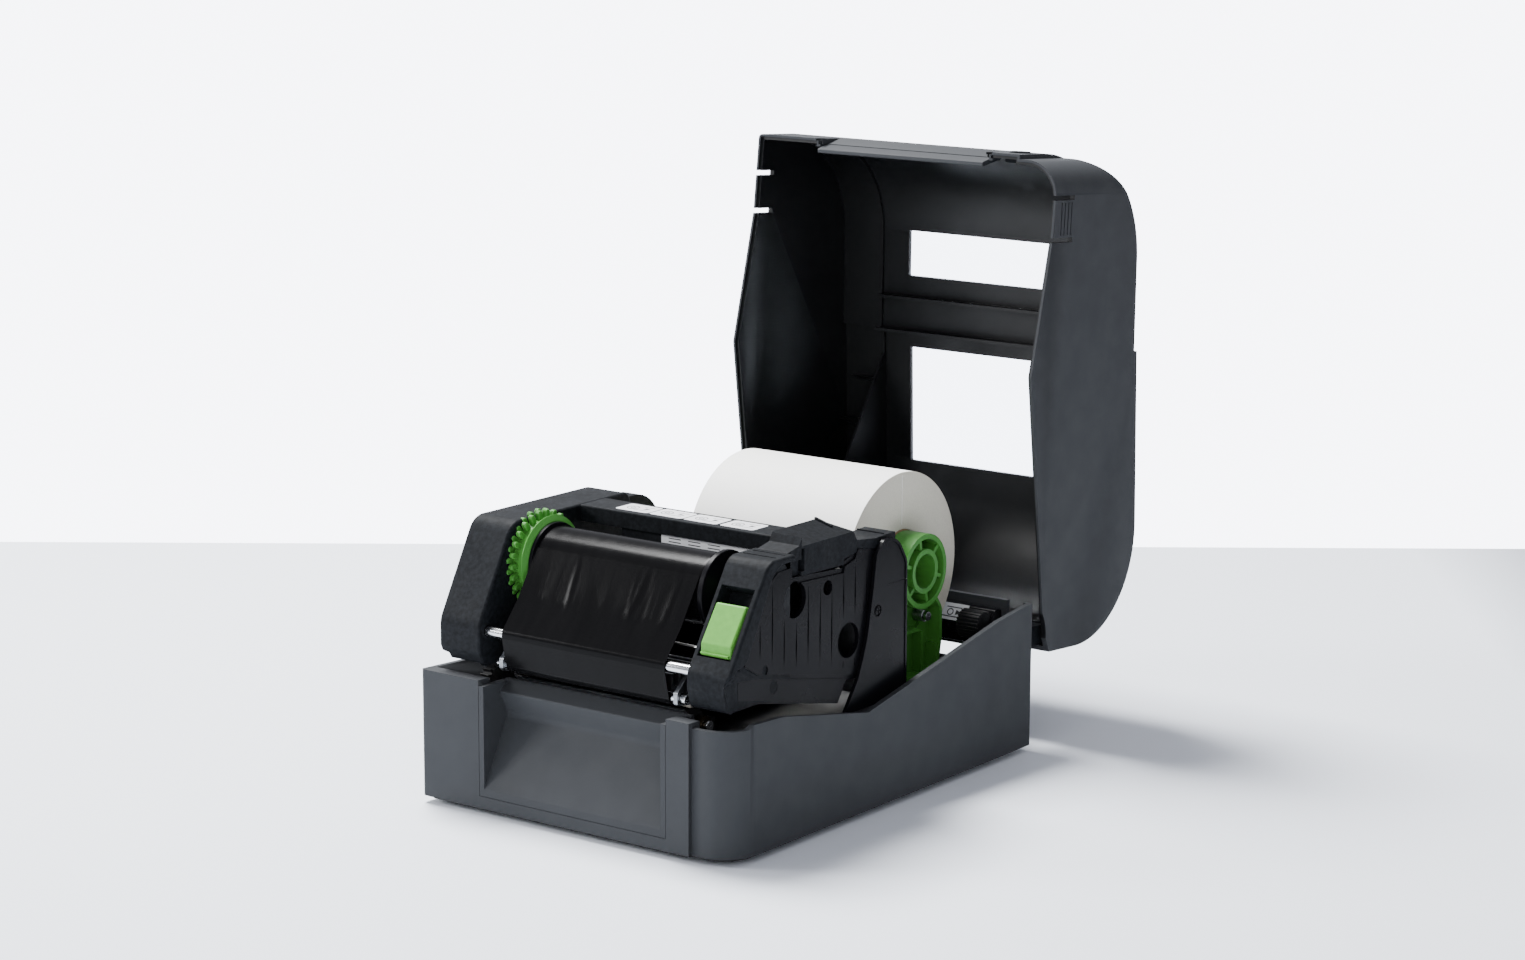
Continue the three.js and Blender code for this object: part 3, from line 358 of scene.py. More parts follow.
def make_finishes():
    made = {}

    def add(name, *args, **more):
        made[name] = Finish(name, *args, **more)
        return made[name]

    add("casing_grey", "313336", 0.66, specular=0.18).mottled(9, 0.05).uneven(60, 0.05).grained(0.35, 0.035)
    # the lid's inside: a glossier moulded finish, with its colour also darkened as painted shade
    add("casing_inside_satin_and_shade", "0e0f11", 0.42, specular=0.3).mottled(7, 0.12).uneven(25, 0.09).grained(0.6, 0.02)
    black = add("frame_black", "15171a", 0.6, specular=0.07)
    black.mottled(400, 0.35, 2).uneven(90, 0.06).grained(0.55, 0.09)
    add("gloss_black", "0c0c0f", 0.3, specular=0.07).mottled(12, 0.15).uneven(30, 0.07).grained(2.5, 0.01)
    add("deck_black", "131416", 0.5, specular=0.3).mottled(14, 0.12).uneven(50, 0.06).grained(0.5, 0.03)
    add("green_plastic", "3f7d31", 0.36, specular=0.22).mottled(22, 0.05).uneven(60, 0.05).grained(0.8, 0.012)
    key = add("green_textured", "549339", 0.5, specular=0.25)
    key.mottled(260, 0.06, 2).uneven(80, 0.05).grained(0.5, 0.06)
    steel = add("turned_steel", "c9cbcd", 0.2, metallic=1.0).uneven(500, 0.08, stretch=(0.05, 1, 1))
    steel.mottled(30, 0.05).grained(0.2, 0.004, stretch=(0.1, 1, 1))
    add("sheet_steel", "8e9195", 0.36, metallic=1.0).mottled(20, 0.08).uneven(90, 0.08).grained(1.2, 0.008)
    add("aluminium", "b4b7ba", 0.34, metallic=1.0).mottled(40, 0.06).uneven(120, 0.06).grained(0.7, 0.01)
    add("bronze", "3d3323", 0.45, metallic=1.0).mottled(150, 0.12).uneven(200, 0.07).grained(0.25, 0.02)
    add("motor_black", "26272a", 0.4, metallic=0.6).mottled(30, 0.1).uneven(90, 0.07).grained(0.6, 0.02)
    add("rubber", "1a1a1b", 0.8).mottled(60, 0.2).uneven(100, 0.06).grained(0.45, 0.05)
    add("label_paper", "f3f3f0", 0.62).mottled(16, 0.015).uneven(90, 0.04).grained(0.5, 0.006)
    add("roll_edge", "d2cebf", 0.8).mottled(1400, 0.05, 2).uneven(90, 0.04).grained(0.12, 0.02)
    add("core_board", "a98f6b", 0.85).mottled(90, 0.14, stretch=(1, 3, 3)).uneven(90, 0.05).grained(0.4, 0.03)
    film = add("ribbon_film", "0a0a0b", 0.22, specular=0.05).mottled(26, 0.12, stretch=(3, 1, 1))
    film.uneven(40, 0.03, stretch=(6, 1, 1)).grained(6, 0.012, stretch=(3.5, 0.5, 0.5))
    turns = add("ribbon_edge", "111112", 0.55, specular=0.3)
    turns.mottled(1500, 0.3, 2).uneven(60, 0.06).grained(0.12, 0.02)
    add("board_green", "1f5b3a", 0.4).mottled(120, 0.25, 4).uneven(70, 0.08).grained(0.9, 0.03)
    add("head_ceramic", "d9d4c8", 0.3).mottled(80, 0.06).uneven(60, 0.06).grained(0.3, 0.006)
    add("sticker_white", "e4e5e8", 0.35).mottled(20, 0.02).uneven(30, 0.06).grained(0.6, 0.004)
    add("sticker_ink", "2b2c30", 0.4).mottled(200, 0.25).uneven(60, 0.05).grained(0.5, 0.004)
    window = add("window_clear", "eef2f6", 0.06).uneven(14, 0.03).mottled(10, 0.01)
    window.shader.inputs["Transmission Weight"].default_value = 1.0
    window.shader.inputs["IOR"].default_value = 1.05
    return {key: one.made for key, one in made.items()}


FINISH = make_finishes()

# The record's material slot of each finish.
SLOT = {
    "casing_grey": "casing_plastic",
    "casing_inside_satin_and_shade": "casing_plastic",
    "frame_black": "frame_plastic",
    "gloss_black": "gloss_black_plastic",
    "deck_black": "deck_plastic",
    "green_plastic": "green_plastic",
    "green_textured": "green_plastic",
    "turned_steel": "steel",
    "sheet_steel": "steel",
    "aluminium": "aluminium_sink",
    "bronze": "bronze_bush",
    "motor_black": "motor_steel",
    "rubber": "rubber",
    "label_paper": "label_paper",
    "core_board": "core_board",
    "ribbon_film": "ribbon_film",
    "board_green": "board_laminate",
    "head_ceramic": "head_ceramic",
    "window_clear": "window_plastic",
}


def dress(piece, name, body, finishes, nodes=(), **more):
    """put(), with finishes by name."""
    wanted = [finishes] if isinstance(finishes, str) else finishes
    return put(piece, name, body, [FINISH[f] for f in wanted], SLOT[wanted[0]], nodes, **more)


BODY_OF = {n: b for b, names in frame["record"]["behaviour"]["bodies"].items() for n in names}


# ---- pieces whose CAD shape is right, given soft edges and a finish ----
def refine(node, finish, **more):
    return dress(cad_copy(node), "fine_" + node, BODY_OF[node], finish, [node], **more)


PLAIN_NODES = {
    "bottom_pan": ("deck_black", 0.4),
    "chassis_deck": ("deck_black", 0.3),
    "left_side_tower": ("frame_black", 0.5),
    "foot_front_left": ("rubber", 0.4),
    "foot_front_right": ("rubber", 0.4),
    "foot_rear_left": ("rubber", 0.4),
    "foot_rear_right": ("rubber", 0.4),
    "tear_bar": ("sheet_steel", 0.06),
    "rear_guide_bar": ("gloss_black", 0.5),
    "circuit_board": ("board_green", 0.1),
    "power_inlet": ("deck_black", 0.3),
    "usb_port": ("sheet_steel", 0.15),
    "platen_bush_left": ("bronze", 0.2),
    "platen_bush_right": ("bronze", 0.2),
    "stepper_motor": ("motor_black", 0.5),
    "label_strip": ("label_paper", 0.0),
    "gap_sensor": ("gloss_black", 0.3),
    "pivot_pin_left": ("turned_steel", 0.4),
    "power_switch": ("gloss_black", 0.5),
    "front_window": ("window_clear", 0.2),
    "rear_window": ("window_clear", 0.2),
    "hinge_arm_left": ("frame_black", 0.4),
    "hinge_arm_right": ("frame_black", 0.4),
    "feed_button": ("frame_black", 0.5),
    "upper_ribbon_shaft": ("turned_steel", 0.4),
    "lower_ribbon_shaft": ("turned_steel", 0.4),
    "head_bracket": ("sheet_steel", 0.3),
    "print_head": ("head_ceramic", 0.2),
    "heatsink": ("aluminium", 0.2),
    "rewind_core": ("core_board", 0.2),
    "rewind_flange": ("gloss_black", 0.4),
    "supply_spindle": ("green_plastic", 0.4),
    "supply_core": ("core_board", 0.2),
    "platen_shaft": ("turned_steel", 0.3),
    "platen_roller": ("rubber", 0.3),
    "platen_gear": ("deck_black", 0.15),
    "idler_gear": ("deck_black", 0.15),
    "motor_pinion": ("turned_steel", 0.15),
    "roll_core": ("core_board", 0.2),
    "guide_screw": ("turned_steel", 0.2),
}


# ---- repeats ----
def repeated(unit, count, step, turn=(0, 0, 0)):
    """`count` copies of a shape by Geometry Nodes, each `step` on from the last and turned by `turn` more."""
    tree = bpy.data.node_groups.new("repeat", "GeometryNodeTree")
    put_in = {}
    kinds = {"Unit": "Object", "Count": "Int", "Step": "Vector", "Turn": "Vector", "Finish": "Material"}
    for label, kind in kinds.items():
        socket = tree.interface.new_socket(label, in_out="INPUT", socket_type="NodeSocket" + kind)
        put_in[label] = socket.identifier
    tree.interface.new_socket("Geometry", in_out="OUTPUT", socket_type="NodeSocketGeometry")
    new = tree.nodes.new
    given = new("NodeGroupInput")
    out = new("NodeGroupOutput")
    line = new("GeometryNodeMeshLine")
    info = new("GeometryNodeObjectInfo")
    index = new("GeometryNodeInputIndex")
    scale = new("ShaderNodeVectorMath")
    copies = new("GeometryNodeInstanceOnPoints")
    real = new("GeometryNodeRealizeInstances")
    paint = new("GeometryNodeSetMaterial")
    scale.operation = "SCALE"
    wire = tree.links.new
    wire(given.outputs["Count"], line.inputs["Count"])
    wire(given.outputs["Step"], line.inputs["Offset"])
    wire(given.outputs["Unit"], info.inputs["Object"])
    wire(given.outputs["Turn"], scale.inputs[0])
    wire(index.outputs[0], scale.inputs["Scale"])
    wire(line.outputs["Mesh"], copies.inputs["Points"])
    wire(info.outputs["Geometry"], copies.inputs["Instance"])
    wire(scale.outputs["Vector"], copies.inputs["Rotation"])
    wire(copies.outputs["Instances"], real.inputs["Geometry"])
    wire(real.outputs["Geometry"], paint.inputs["Geometry"])
    wire(given.outputs["Finish"], paint.inputs["Material"])
    wire(paint.outputs["Geometry"], out.inputs["Geometry"])
    host = bpy.data.objects.new("shape", bpy.data.meshes.new("shape"))
    bpy.context.scene.collection.objects.link(host)
    maker = host.modifiers.new("repeat", "NODES")
    maker.node_group = tree
    values = {"Unit": unit, "Count": count, "Step": step, "Turn": turn, "Finish": FINISH["frame_black"]}
    for label, value in values.items():
        maker[put_in[label]] = value
    settle(host)
    host.data.materials.clear()
    bpy.data.objects.remove(unit)
    return host


# ---- sizes that several pieces share ----
WALL = 3.0
GAP = 0.3
HALF = span("base_casing")[1].x
DEPTH = span("base_casing")[1].y
FRONT_HEIGHT = 73.0
PANEL_HALF = 62.0
STEP_X = 76.5
STEP_IN = 2.5
TOP_EDGE = [(0, 73), (45, 71), (120, 57), (DEPTH - 84, 72), (DEPTH - 35, 81.6), (DEPTH - 7, 85), (DEPTH, 85)]
HINGE_Y = DEPTH - 11.4
HINGE_Z = 64.0
LID_OPEN = math.radians(94)
OPENED = (
    Matrix.Translation((0, HINGE_Y, HINGE_Z))
    @ Matrix.Rotation(-LID_OPEN, 4, "X")
    @ Matrix.Translation((0, -HINGE_Y, -HINGE_Z))
)
PIVOT = (147.0, 104.0)
REWIND = (56.0, 127.5)
SUPPLY = (114.0, 97.0)
UPPER_SHAFT = (14.0, 96.0)


def plan(inset):
    """The outline seen from above: a sharp left corner, a stepped and well rounded right one."""
    def rounded(radius):
        return max(radius - inset, 0.6)

    return outline([
        (-HALF + inset, inset, rounded(2.5)),
        (STEP_X - inset, inset),
        (STEP_X - inset, STEP_IN + inset),
        (HALF - inset, STEP_IN + inset, rounded(20)),
        (HALF - inset, DEPTH - inset, rounded(2.5)),
        (-HALF + inset, DEPTH - inset, rounded(2.5)),
    ])


# ---- base ----
def base_casing():
    shell = cut(prism("z", plan(0), 4, 90), prism("z", plan(WALL), 0, 91))
    ledge, depth = 8.0, 9.0
    shell = join(
        shell,
        block(-HALF + WALL - 1, -PANEL_HALF, WALL - 1, depth, FRONT_HEIGHT - ledge, 90),
        block(PANEL_HALF, STEP_X, WALL - 1, depth, FRONT_HEIGHT - ledge, 90),
    )
    above = [(-50, 73), (-50, 120), (DEPTH + 50, 120), (DEPTH + 50, 85)]
    above = prism("x", outline(above + [(y, z, 6 if 0 < y < DEPTH else 0) for y, z in TOP_EDGE[::-1]]),
                  -HALF - 1, HALF + 1)
    low_corner = outline([(-1, 60 + 10), (17, 70, 5), (24, 74), (24, 100), (-1, 100)])
    rear = (DEPTH - WALL - 1, DEPTH + 1)
    cuts = [
        above,
        prism("x", low_corner, STEP_X, HALF + 1),
        block(-PANEL_HALF, PANEL_HALF, -1, depth + 1, 10.5, 100),
        block(-97, -86, *rear, 56, 99),
        block(86, 97, *rear, 56, 99),
        block(-58, 70, *rear, 47, 55.5),
        block(20, 36, *rear, 13.6, 29),
        block(-13.3, 1.3, *rear, 13.6, 27.3),
        block(55, 69, *rear, 12.4, 35.6),
    ]
    return cut(shell, *cuts)


def front_panel():
    side, low, top = PANEL_HALF - GAP, 10.8, FRONT_HEIGHT - 3
    front = [(0, low), (0, low + 4, 2), (19.5, 52, 5), (13, 65, 1), (22, top), (24, top)]
    back = [(24, top - 3), (17.4, 63.5), (23.4, 52, 3), (WALL + 0.4, low + 3), (WALL + 0.4, low)]
    skin = prism("x", outline(front + back, 3), -side, side)
    cheek = outline([(0, low), (0, top), (19.8, top), (22.5, 52), (WALL, low)])
    skin = join(skin, prism("x", cheek, -side, -side + 3.2), prism("x", cheek, side - 3.2, side))
    # two rows of short dashes along the sloping ledge
    rows = []
    for y, z in ((15.6, 65.38), (19.2, 67.98)):
        dash = block(-2.6, 2.6, -0.3, 0.3, -0.6, 0.14)
        row = repeated(dash, 17, (6.9, 0, 0))
        lean = Matrix.Rotation(math.atan2(6.5, 9), 4, "X")
        rows.append(moved(row, Matrix.Translation((-55.2, y, z)) @ lean))
    return gather(skin, *rows)


def right_tower():
    """The thin upright cover over the frame's pivot, with a raised rim and one small screw."""
    front = [(109, 50), (111, 57, 8), (122.6, 72.8, 24), (130.4, 91.4, 80), (135.7, 118.2, 80),
             (138.6, 137, 8), (145.2, 143.6, 5)]
    edge = outline(front + [(157.5, 143.6, 14), (167, 129, 10), (167.6, 50)])
    body = prism("x", edge, 91.5, 93)
    rim = cut(prism("x", edge, 92.6, 93.5), prism("x", inset_outline(edge, 1.4), 92, 96))
    seat = rod("x", 3.2, 92, 96, 140.6, 106.3, 32)
    head = turned("x", [(91.8, 0.01), (91.8, 2.4), (92.9, 2.4), (93.3, 1.7), (93.3, 0.01)], 140.6, 106.3, 28)
    head = cut(head, block(92.7, 95, 138.7, 142.5, 106, 106.6), block(92.7, 95, 140.3, 140.9, 104.4, 108.2))
    seam = block(92.8, 96, 150, 169, 118.6, 119.1)
    return gather(cut(join(body, rim), seat, seam), head)


def inset_outline(points, by):
    """The outline moved inwards by `by`; its corners are shallow or already round."""
    count = len(points)
    area = sum(points[i].x * points[(i + 1) % count].y - points[(i + 1) % count].x * points[i].y
               for i in range(count))
    turn = 1 if area > 0 else -1
    made = []
    for i, p in enumerate(points):
        a = (p - points[i - 1]).normalized()
        b = (points[(i + 1) % count] - p).normalized()
        normal = (Vector((-a.y, a.x)) + Vector((-b.y, b.x))) * turn
        made.append(p + normal.normalized() * by / max(0.4, (normal.length / 2)))
    return made


def pivot_pin():
    return rod("x", 3.9, span("pivot_pin_right")[0].x, 91.3, *PIVOT)


# ---- lid ----
def lid_profile(inset, drop):
    """The closed lid from the side, moved inwards by `inset`, with its open edge `drop` lower."""
    rear, step_y = DEPTH - 3.2 - inset, 111.7

    def roof(y):
        return 169.97 + (y - step_y) * 0.0993 - inset

    edge = [(y, z + 0.5 - drop, 6) for y, z in TOP_EDGE[1:5]]
    return outline([
        (inset, FRONT_HEIGHT + 0.5 - drop), *edge, (DEPTH - 18, 84.9 - drop), (rear, 93 - drop),
        (rear, roof(rear), 60 - inset), (step_y + inset, roof(step_y)), (step_y + inset, 167 - inset),
        (inset, 160.7 - inset, 62 - inset),
    ], 3)


def lid_gusset():
    """The thin plate inside the lid and its two cross webs; drawn for the left side."""
    x = -71.2
    plate = prism("x", [(124, 200), (128, 167.5), (193, 131.5), (250, 133), (250, 200)], x, x + 1.4, 1)
    web_1 = prism("y", [(x + 0.5, 157), (x + 0.5, 200), (-98, 200), (-98, 171), (-90, 168)], 146, 147.3, 1)
    web_2 = prism("y", [(x + 0.5, 142.8), (x + 0.5, 200), (-100, 200), (-100, 166)], 171.5, 172.8, 1)
    rib = block(x, x + 1.4, 3, 255, 92, 200, 1)
    under_roof = cut(prism("x", lid_profile(2.2, 30), -HALF, HALF, 1),
                     prism("x", lid_profile(4.8, 30), -HALF, HALF, 1))
    rib = overlap(rib, under_roof)
    inside = overlap(prism("z", plan(1), -20, 200, 1), prism("x", lid_profile(1, 30), -HALF, HALF, 1))
    return join(overlap(join(plate, web_1, web_2), inside), rib)


def lid_shell():
    shell = overlap(prism("z", plan(0), 40, 200), prism("x", lid_profile(0, 0), -HALF - 1, HALF + 1))
    # finish 1 is the lid's inside, whose darker colour is partly painted shade
    hollow = overlap(prism("z", plan(WALL), -20, 200, 1), prism("x", lid_profile(WALL, 30), -HALF, HALF, 1))
    shell = cut(shell, hollow)
    # the rim steps back along the inside of the open edge
    edge = [(y, z + 2.1) for y, z in TOP_EDGE[:5]] + [(262, 86.5)]
    band = prism("x", [(-5, 40), (-5, 75.6)] + edge + [(262, 40)], -HALF - 2, HALF + 2, 1)
    shell = cut(shell, overlap(band, prism("z", plan(WALL * 0.45), 20, 120, 1)))
    ribs = [block(-70, 70, y, y + 1.6, 155, 160 + extra, 1) for y, extra in ((94, 3.5), (114, 5))]
    lip = prism("x", outline([(0.1, 93), (5.6, 70.4, 0.8), (8.2, 70.4, 0.8), (3.2, 93)]), -57.5, 54.5)
    scoop = prism("x", [(-2, 92), (0, 92), (5.4, 70), (5.4, 68), (-2, 68)], -57.5, 54.5)
    shell = cut(shell, scoop)
    left = lid_gusset()
    right = mirrored(lid_gusset())
    shell = join(shell, *ribs, lip, left, right)
    swing = rod("x", 24.5, -HALF - 2, HALF + 2, HINGE_Y, HINGE_Z, 72, 1)
    cuts = [block(-HALF - 5, -90, y, y + 2.8, 50, 86, 1) for y in (21.1, 43)]
    cuts += [block(78, HALF + 5, y, y + 2.6, 50, 92, 1) for y in (20.8, 44)]
    for y0, y1 in ((54.8, 81.7), (124.5, 193.5)):
        w = 52.5
        cuts.append(prism("z", outline([(-w, y0, 1), (w, y0, 1), (w, y1, 1), (-w, y1, 1)]), 140, 220, 1))
    cuts += [block(x, x + 3.4, -4, 7, 66, 79, 1) for x in (-61.2, 54.8)]
    cuts += [swing, rod("y", 6.5, -4, 8, 65, 92, 48, 1)]
    groove = block(-0.9, 0.6, 24.6, 42.8, -0.5, 0.5)
    grip = repeated(groove, 4, (0, 0, 3.4))
    cuts.append(moved(grip, Matrix.Translation((HALF, 0, 79.5))))
    shell = cut(shell, *cuts)
    hooks = [join(block(x, x + 1.1, 1.2, 4.6, 74, 84, 0), block(x, x + 2.4, 3.4, 4.6, 74, 76, 0))
             for x in (-60.9, 56.2)]
    return moved(join(shell, *hooks), OPENED)


# ---- print frame ----
def left_cheek():
    low, top = 77, 151
    x0, x1 = -94.7, -67

    def side(grow, bottom):
        r = 0 if grow else 1
        return outline([(11 + grow, bottom, 5 * r), (7 + grow, 86, 4 * r), (7 + grow, 100, 14),
                        (34.5 + grow * 0.6, top - grow, 12), (134, top - grow, 6 * r), (134, bottom)])

    body = prism("x", side(0, low), x0, x1)
    body = soften(body, 1.6, 4, 50)
    arm = outline([(121, 84), (141, 88, 8), (161, 94, 13), (161, 120, 13), (128, 143), (121, 143)])
    skirt = prism("y", [(-99, 70), (-99, 84), (-89.5, 82), (-87.2, 70)], 0, 140)
    body = cut(body, skirt, prism("x", side(2.5, 40), x0 + 2.5, x1 - 2.5), rod("x", 5, -71, -66, *REWIND),
               rod("x", 5, -71, -66, *SUPPLY), rod("x", 3.1, -71, -66, *UPPER_SHAFT))
    arm = cut(prism("x", arm, x1 - 2.5, x1), rod("x", 4.5, -71, -60, *PIVOT))
    return join(body, arm)


def slope_point(along, deep):
    """A point on the slanted front of the right cheek, `deep` mm inside it."""
    ahead = Vector((32.5, 51.5)).normalized()
    return Vector((10.5, 98)) + ahead * along + Vector((ahead.y, -ahead.x)) * deep


def right_cheek():
    x0, x1 = 68.5, 94.4
    front = [(12, 77, 5), (9, 88, 4), (9, 95.6, 10), (42, 148, 10)]
    bound = [(47, 150), (66, 150), (66, 146.8), (54.5, 146.2, 4), (47.5, 142.5, 5), (25.5, 101, 6),
             (15, 98.5, 3)]
    leg = prism("x", outline(front[:3] + [(16.5, 107), (16.5, 77)]), x0, 91.4)
    flank = prism("x", outline([(9, 88), (9, 95.6, 10), (42, 148, 10)] + bound + [(15, 88)]), 84, x1)
    flank = soften(flank, 2.2, 4, 50)
    trim = prism("y", [(91.4, 60), (91.4, 92), (96, 98.4), (99, 98.4), (99, 60)], 0, 15.2)
    inner = cut(prism("x", outline(front + [(47, 150), (66, 150), (66, 77)]), x0, 90.4),
                prism("x", outline([(13.5, 40), (11.5, 88), (11.5, 95, 9), (44, 147.4, 7), (80, 147.4),
                                    (80, 40)]), x0 + 2.5, 88))
    ridges = [block(71, 91, y, y + 0.5, 149.6, 150.35) for y in (52.2, 60.2)]
    body = join(inner, leg, cut(flank, trim), *ridges)
    room = prism("x", [slope_point(*p) for p in ((7.4, -8), (46, -8), (46, 12), (7.4, 12))], 70.5, 91.3)
    seats = [rod("x", 5, 66, 72, *REWIND), rod("x", 5, 66, 72, *SUPPLY), rod("x", 3.1, 66, 72, *UPPER_SHAFT)]
    plate = prism("x", [(40, 84), (60, 139), (126, 139), (126, 84)], x0, x0 + 2.5)
    arm = outline([(121, 84), (141, 88, 8), (161, 94, 13), (161, 120, 13), (128, 143), (121, 143)])
    arm = cut(prism("x", arm, x0, x0 + 2.5), rod("x", 4.5, 60, 75, *PIVOT))
    walls = cut(prism("x", [slope_point(*p) for p in ((6.4, 0.4), (47, 0.4), (47, 11), (6.4, 11))], 69.6, 92),
                prism("x", [slope_point(*p) for p in ((7.4, -8), (46, -8), (46, 10), (7.4, 10))], 70.5, 91.3))
    # inside the closed lid's rounded corner
    body = overlap(cut(body, room, *seats), prism("z", plan(WALL + GAP), 0, 200))
    return join(body, plate, arm, walls)


def side_cover():
    """The ribbed cover of the clutches: tapered upright grooves over a plain band."""
    x1 = 90.5
    front = [(15.8, 88), (15.8, 97), (25.8, 99.9, 5), (47.8, 141, 5), (55, 145, 3), (66, 145.9)]
    rear = [(66, 137), (112, 134), (112.6, 137), (122, 139.4), (125.4, 146), (147, 144.2, 3), (152, 137, 12),
            (143.5, 108, 60), (134.5, 76, 12), (128, 72.2)]
    low = [(116.4, 73.4), (109, 62.4, 1), (22, 80.6), (15.8, 83)]
    cover = prism("x", outline(front + rear + low), x1 - 2.2, x1 - 0.5)
    field = [(27, 98.6), (38.5, 92.4), (127.6, 74), (134.2, 91, 10), (139, 112), (143.4, 138, 2),
             (125.4, 142), (122.4, 137), (113.4, 134.6), (112.6, 131.4), (67.4, 133.6), (66, 142.5), (55, 142),
             (49.5, 138.6)]
    band = [(22, 91.6), (37.2, 90.4), (114.6, 74.4), (108.4, 64), (22, 82)]
    cover = join(cover, prism("x", outline(field), x1 - 1, x1 + 0.4),
                 prism("x", outline([(y, z, 0.6) for y, z in band]), x1 - 1, x1))
    rows = [(40, 99, 118), (50.3, 93.5, 136), (60.5, 91, 116), (71, 89, 113), (81.2, 86.8, 130),
            (91.7, 84.6, 127), (102, 82.4, 125), (112.4, 106, 132), (112.4, 80.2, 84.5), (122.8, 106, 133),
            (122.8, 78.4, 84), (133.2, 96, 130)]
    tools = []
    for y, bottom, top in rows:
        waist = bottom + (top - bottom) * 0.45
        half = 0.6 if top - bottom > 10 else 0.4
        shape = [(y, bottom), (y + half, waist), (y + 0.12, top), (y - 0.12, top), (y - half, waist)]
        tools.append(prism("x", shape, x1 - 0.3, x1 + 2))
    # two large holes, then three small ones
    holes = [(9.5, 69.5, 125.2, 64), (9.4, 117, 94.7, 64), (3.9, 98.2, 126.2, 48), (2.6, 44, 93.3, 48),
             (3.4, 52, 83.1, 48)]
    tools += [rod("x", radius, 80, 99, y, z, sides) for radius, y, z, sides in holes]
    cover = cut(cover, *tools)
    bridge = block(75, x1 - 1, 56, 58, 80, 132)
    floor = prism("x", [(62, 137), (62, 78), (118, 70), (138, 78), (153, 90), (153, 137)], 75, 76.2)
    return join(cover, bridge, floor)


def clutch_housing():
    """The box on top of the clutches: tilted roof, one slot at its front corner, a low tail."""
    roof = [(61, 146, 1), (63.6, 150.4, 1), (73.6, 152.4, 1), (76.6, 157.4, 1), (114, 157.4, 1),
            (121.3, 152.2, 1), (124.6, 146.6, 1), (142, 144.6), (159.8, 145.4, 1)]
    under = [(159.8, 141.6), (150, 138.6), (126, 140.6), (121, 139.6), (113.4, 138.4), (112.9, 135.6),
             (78, 136.4), (66.5, 137.2)]
    body = prism("x", outline(roof + under), 71.4, 90.4)
    tilt = prism("y", [(60, 170), (71.4, 157.2), (90.4, 151.8), (96, 150.2), (96, 170)], 76, 124)
    body = cut(body, tilt, block(86, 92, 75.6, 78.2, 138.6, 150.6), block(88.4, 92, 66.8, 75.6, 136, 145.2))
    ledge = prism("y", [(71.4, 150), (71.4, 158.2), (82, 155.1), (82, 150)], 113, 114.6)
    lines = [block(71.8, 89, y, y + 0.6, 145, 145.6 + (160 - y) * 0.01) for y in (130.5, 151)]
    return join(body, ledge, *lines)


def top_bar():
    y0, y1, low, top = 90.0, 112.0, 142.0, 151.0
    outside = [(y0, low), (y0, top, 1), (y1, top, 1), (y1, low)]
    inside = [(y1 - 2.5, low), (y1 - 2.5, top - 2.5), (y0 + 2.5, top - 2.5), (y0 + 2.5, low)]
    bar = prism("x", outline(outside + inside), -66.7, 67.9)
    return join(bar, block(-40, 62, y0 + 2.2, y0 + 3.4, 136.4, 149))


def latch_button():
    face = [(*slope_point(14, -1.6), 2.2), (*slope_point(36.5, -0.6), 1.5), tuple(slope_point(37.2, 5)),
            tuple(slope_point(10, 6)), (*slope_point(8.4, 1.4), 1.0)]
    body = soften(prism("x", outline(face), 71.3, 90.2), 0.9, 4, 40)
    ridge = prism("x", [slope_point(*p) for p in ((8.6, 0.8), (9.4, -0.5), (10.2, 0.5), (9.6, 2))], 72, 89.4)
    return join(body, ridge)


# ---- ribbon spools ----
FILM_LEFT = 1.6


def peg(radius, out):
    """One round-nosed tooth that stands out from a wheel of that radius along +Z."""
    half = [(1.65, -0.8), (1.6, out - 2.0), (1.45, out - 1.1), (1.0, out - 0.4), (0.4, out)]
    points = half + [(-u, v) for u, v in half[::-1]]
    return soften(prism("x", [(u, radius + v) for u, v in points], 0, 2.9), 0.45, 2, 50)


def rewind_wheel():
    """The green wheel with two staggered rows of pegs, a thin flange and a black end ring."""
    axis = REWIND
    left = span("rewind_gear")[0].x
    wheel = turned("x", [(left, 4), (left, 21.4), (left + 0.5, 22), (left + 9, 22), (left + 9.9, 24.2),
                         (left + 10.6, 24.4), (left + 12.2, 21.4), (left + 12.2, 4)], *axis, 120)
    pitch = 2 * math.pi / 26
    rows = []
    for k, x in enumerate((left, left + 3.3)):
        row = repeated(peg(22, 4.8), 26, (0, 0, 0), (pitch, 0, 0))
        rows.append(moved(row, Matrix.Translation((x, *axis)) @ Matrix.Rotation(k * pitch / 2, 4, "X")))
    shaft = rod("x", 4.6, left, span("rewind_gear")[1].x, *axis)
    disc = [(left + 12.2, 9.2), (left + 12.2, 20.9), (left + 14.2, 20.9), (left + 14.2, 9.2)]
    ring = turned("x", disc, *axis, 96)
    for face in ring.data.polygons:
        face.material_index = 1
    return gather(join(wheel, shaft), *rows, ring)


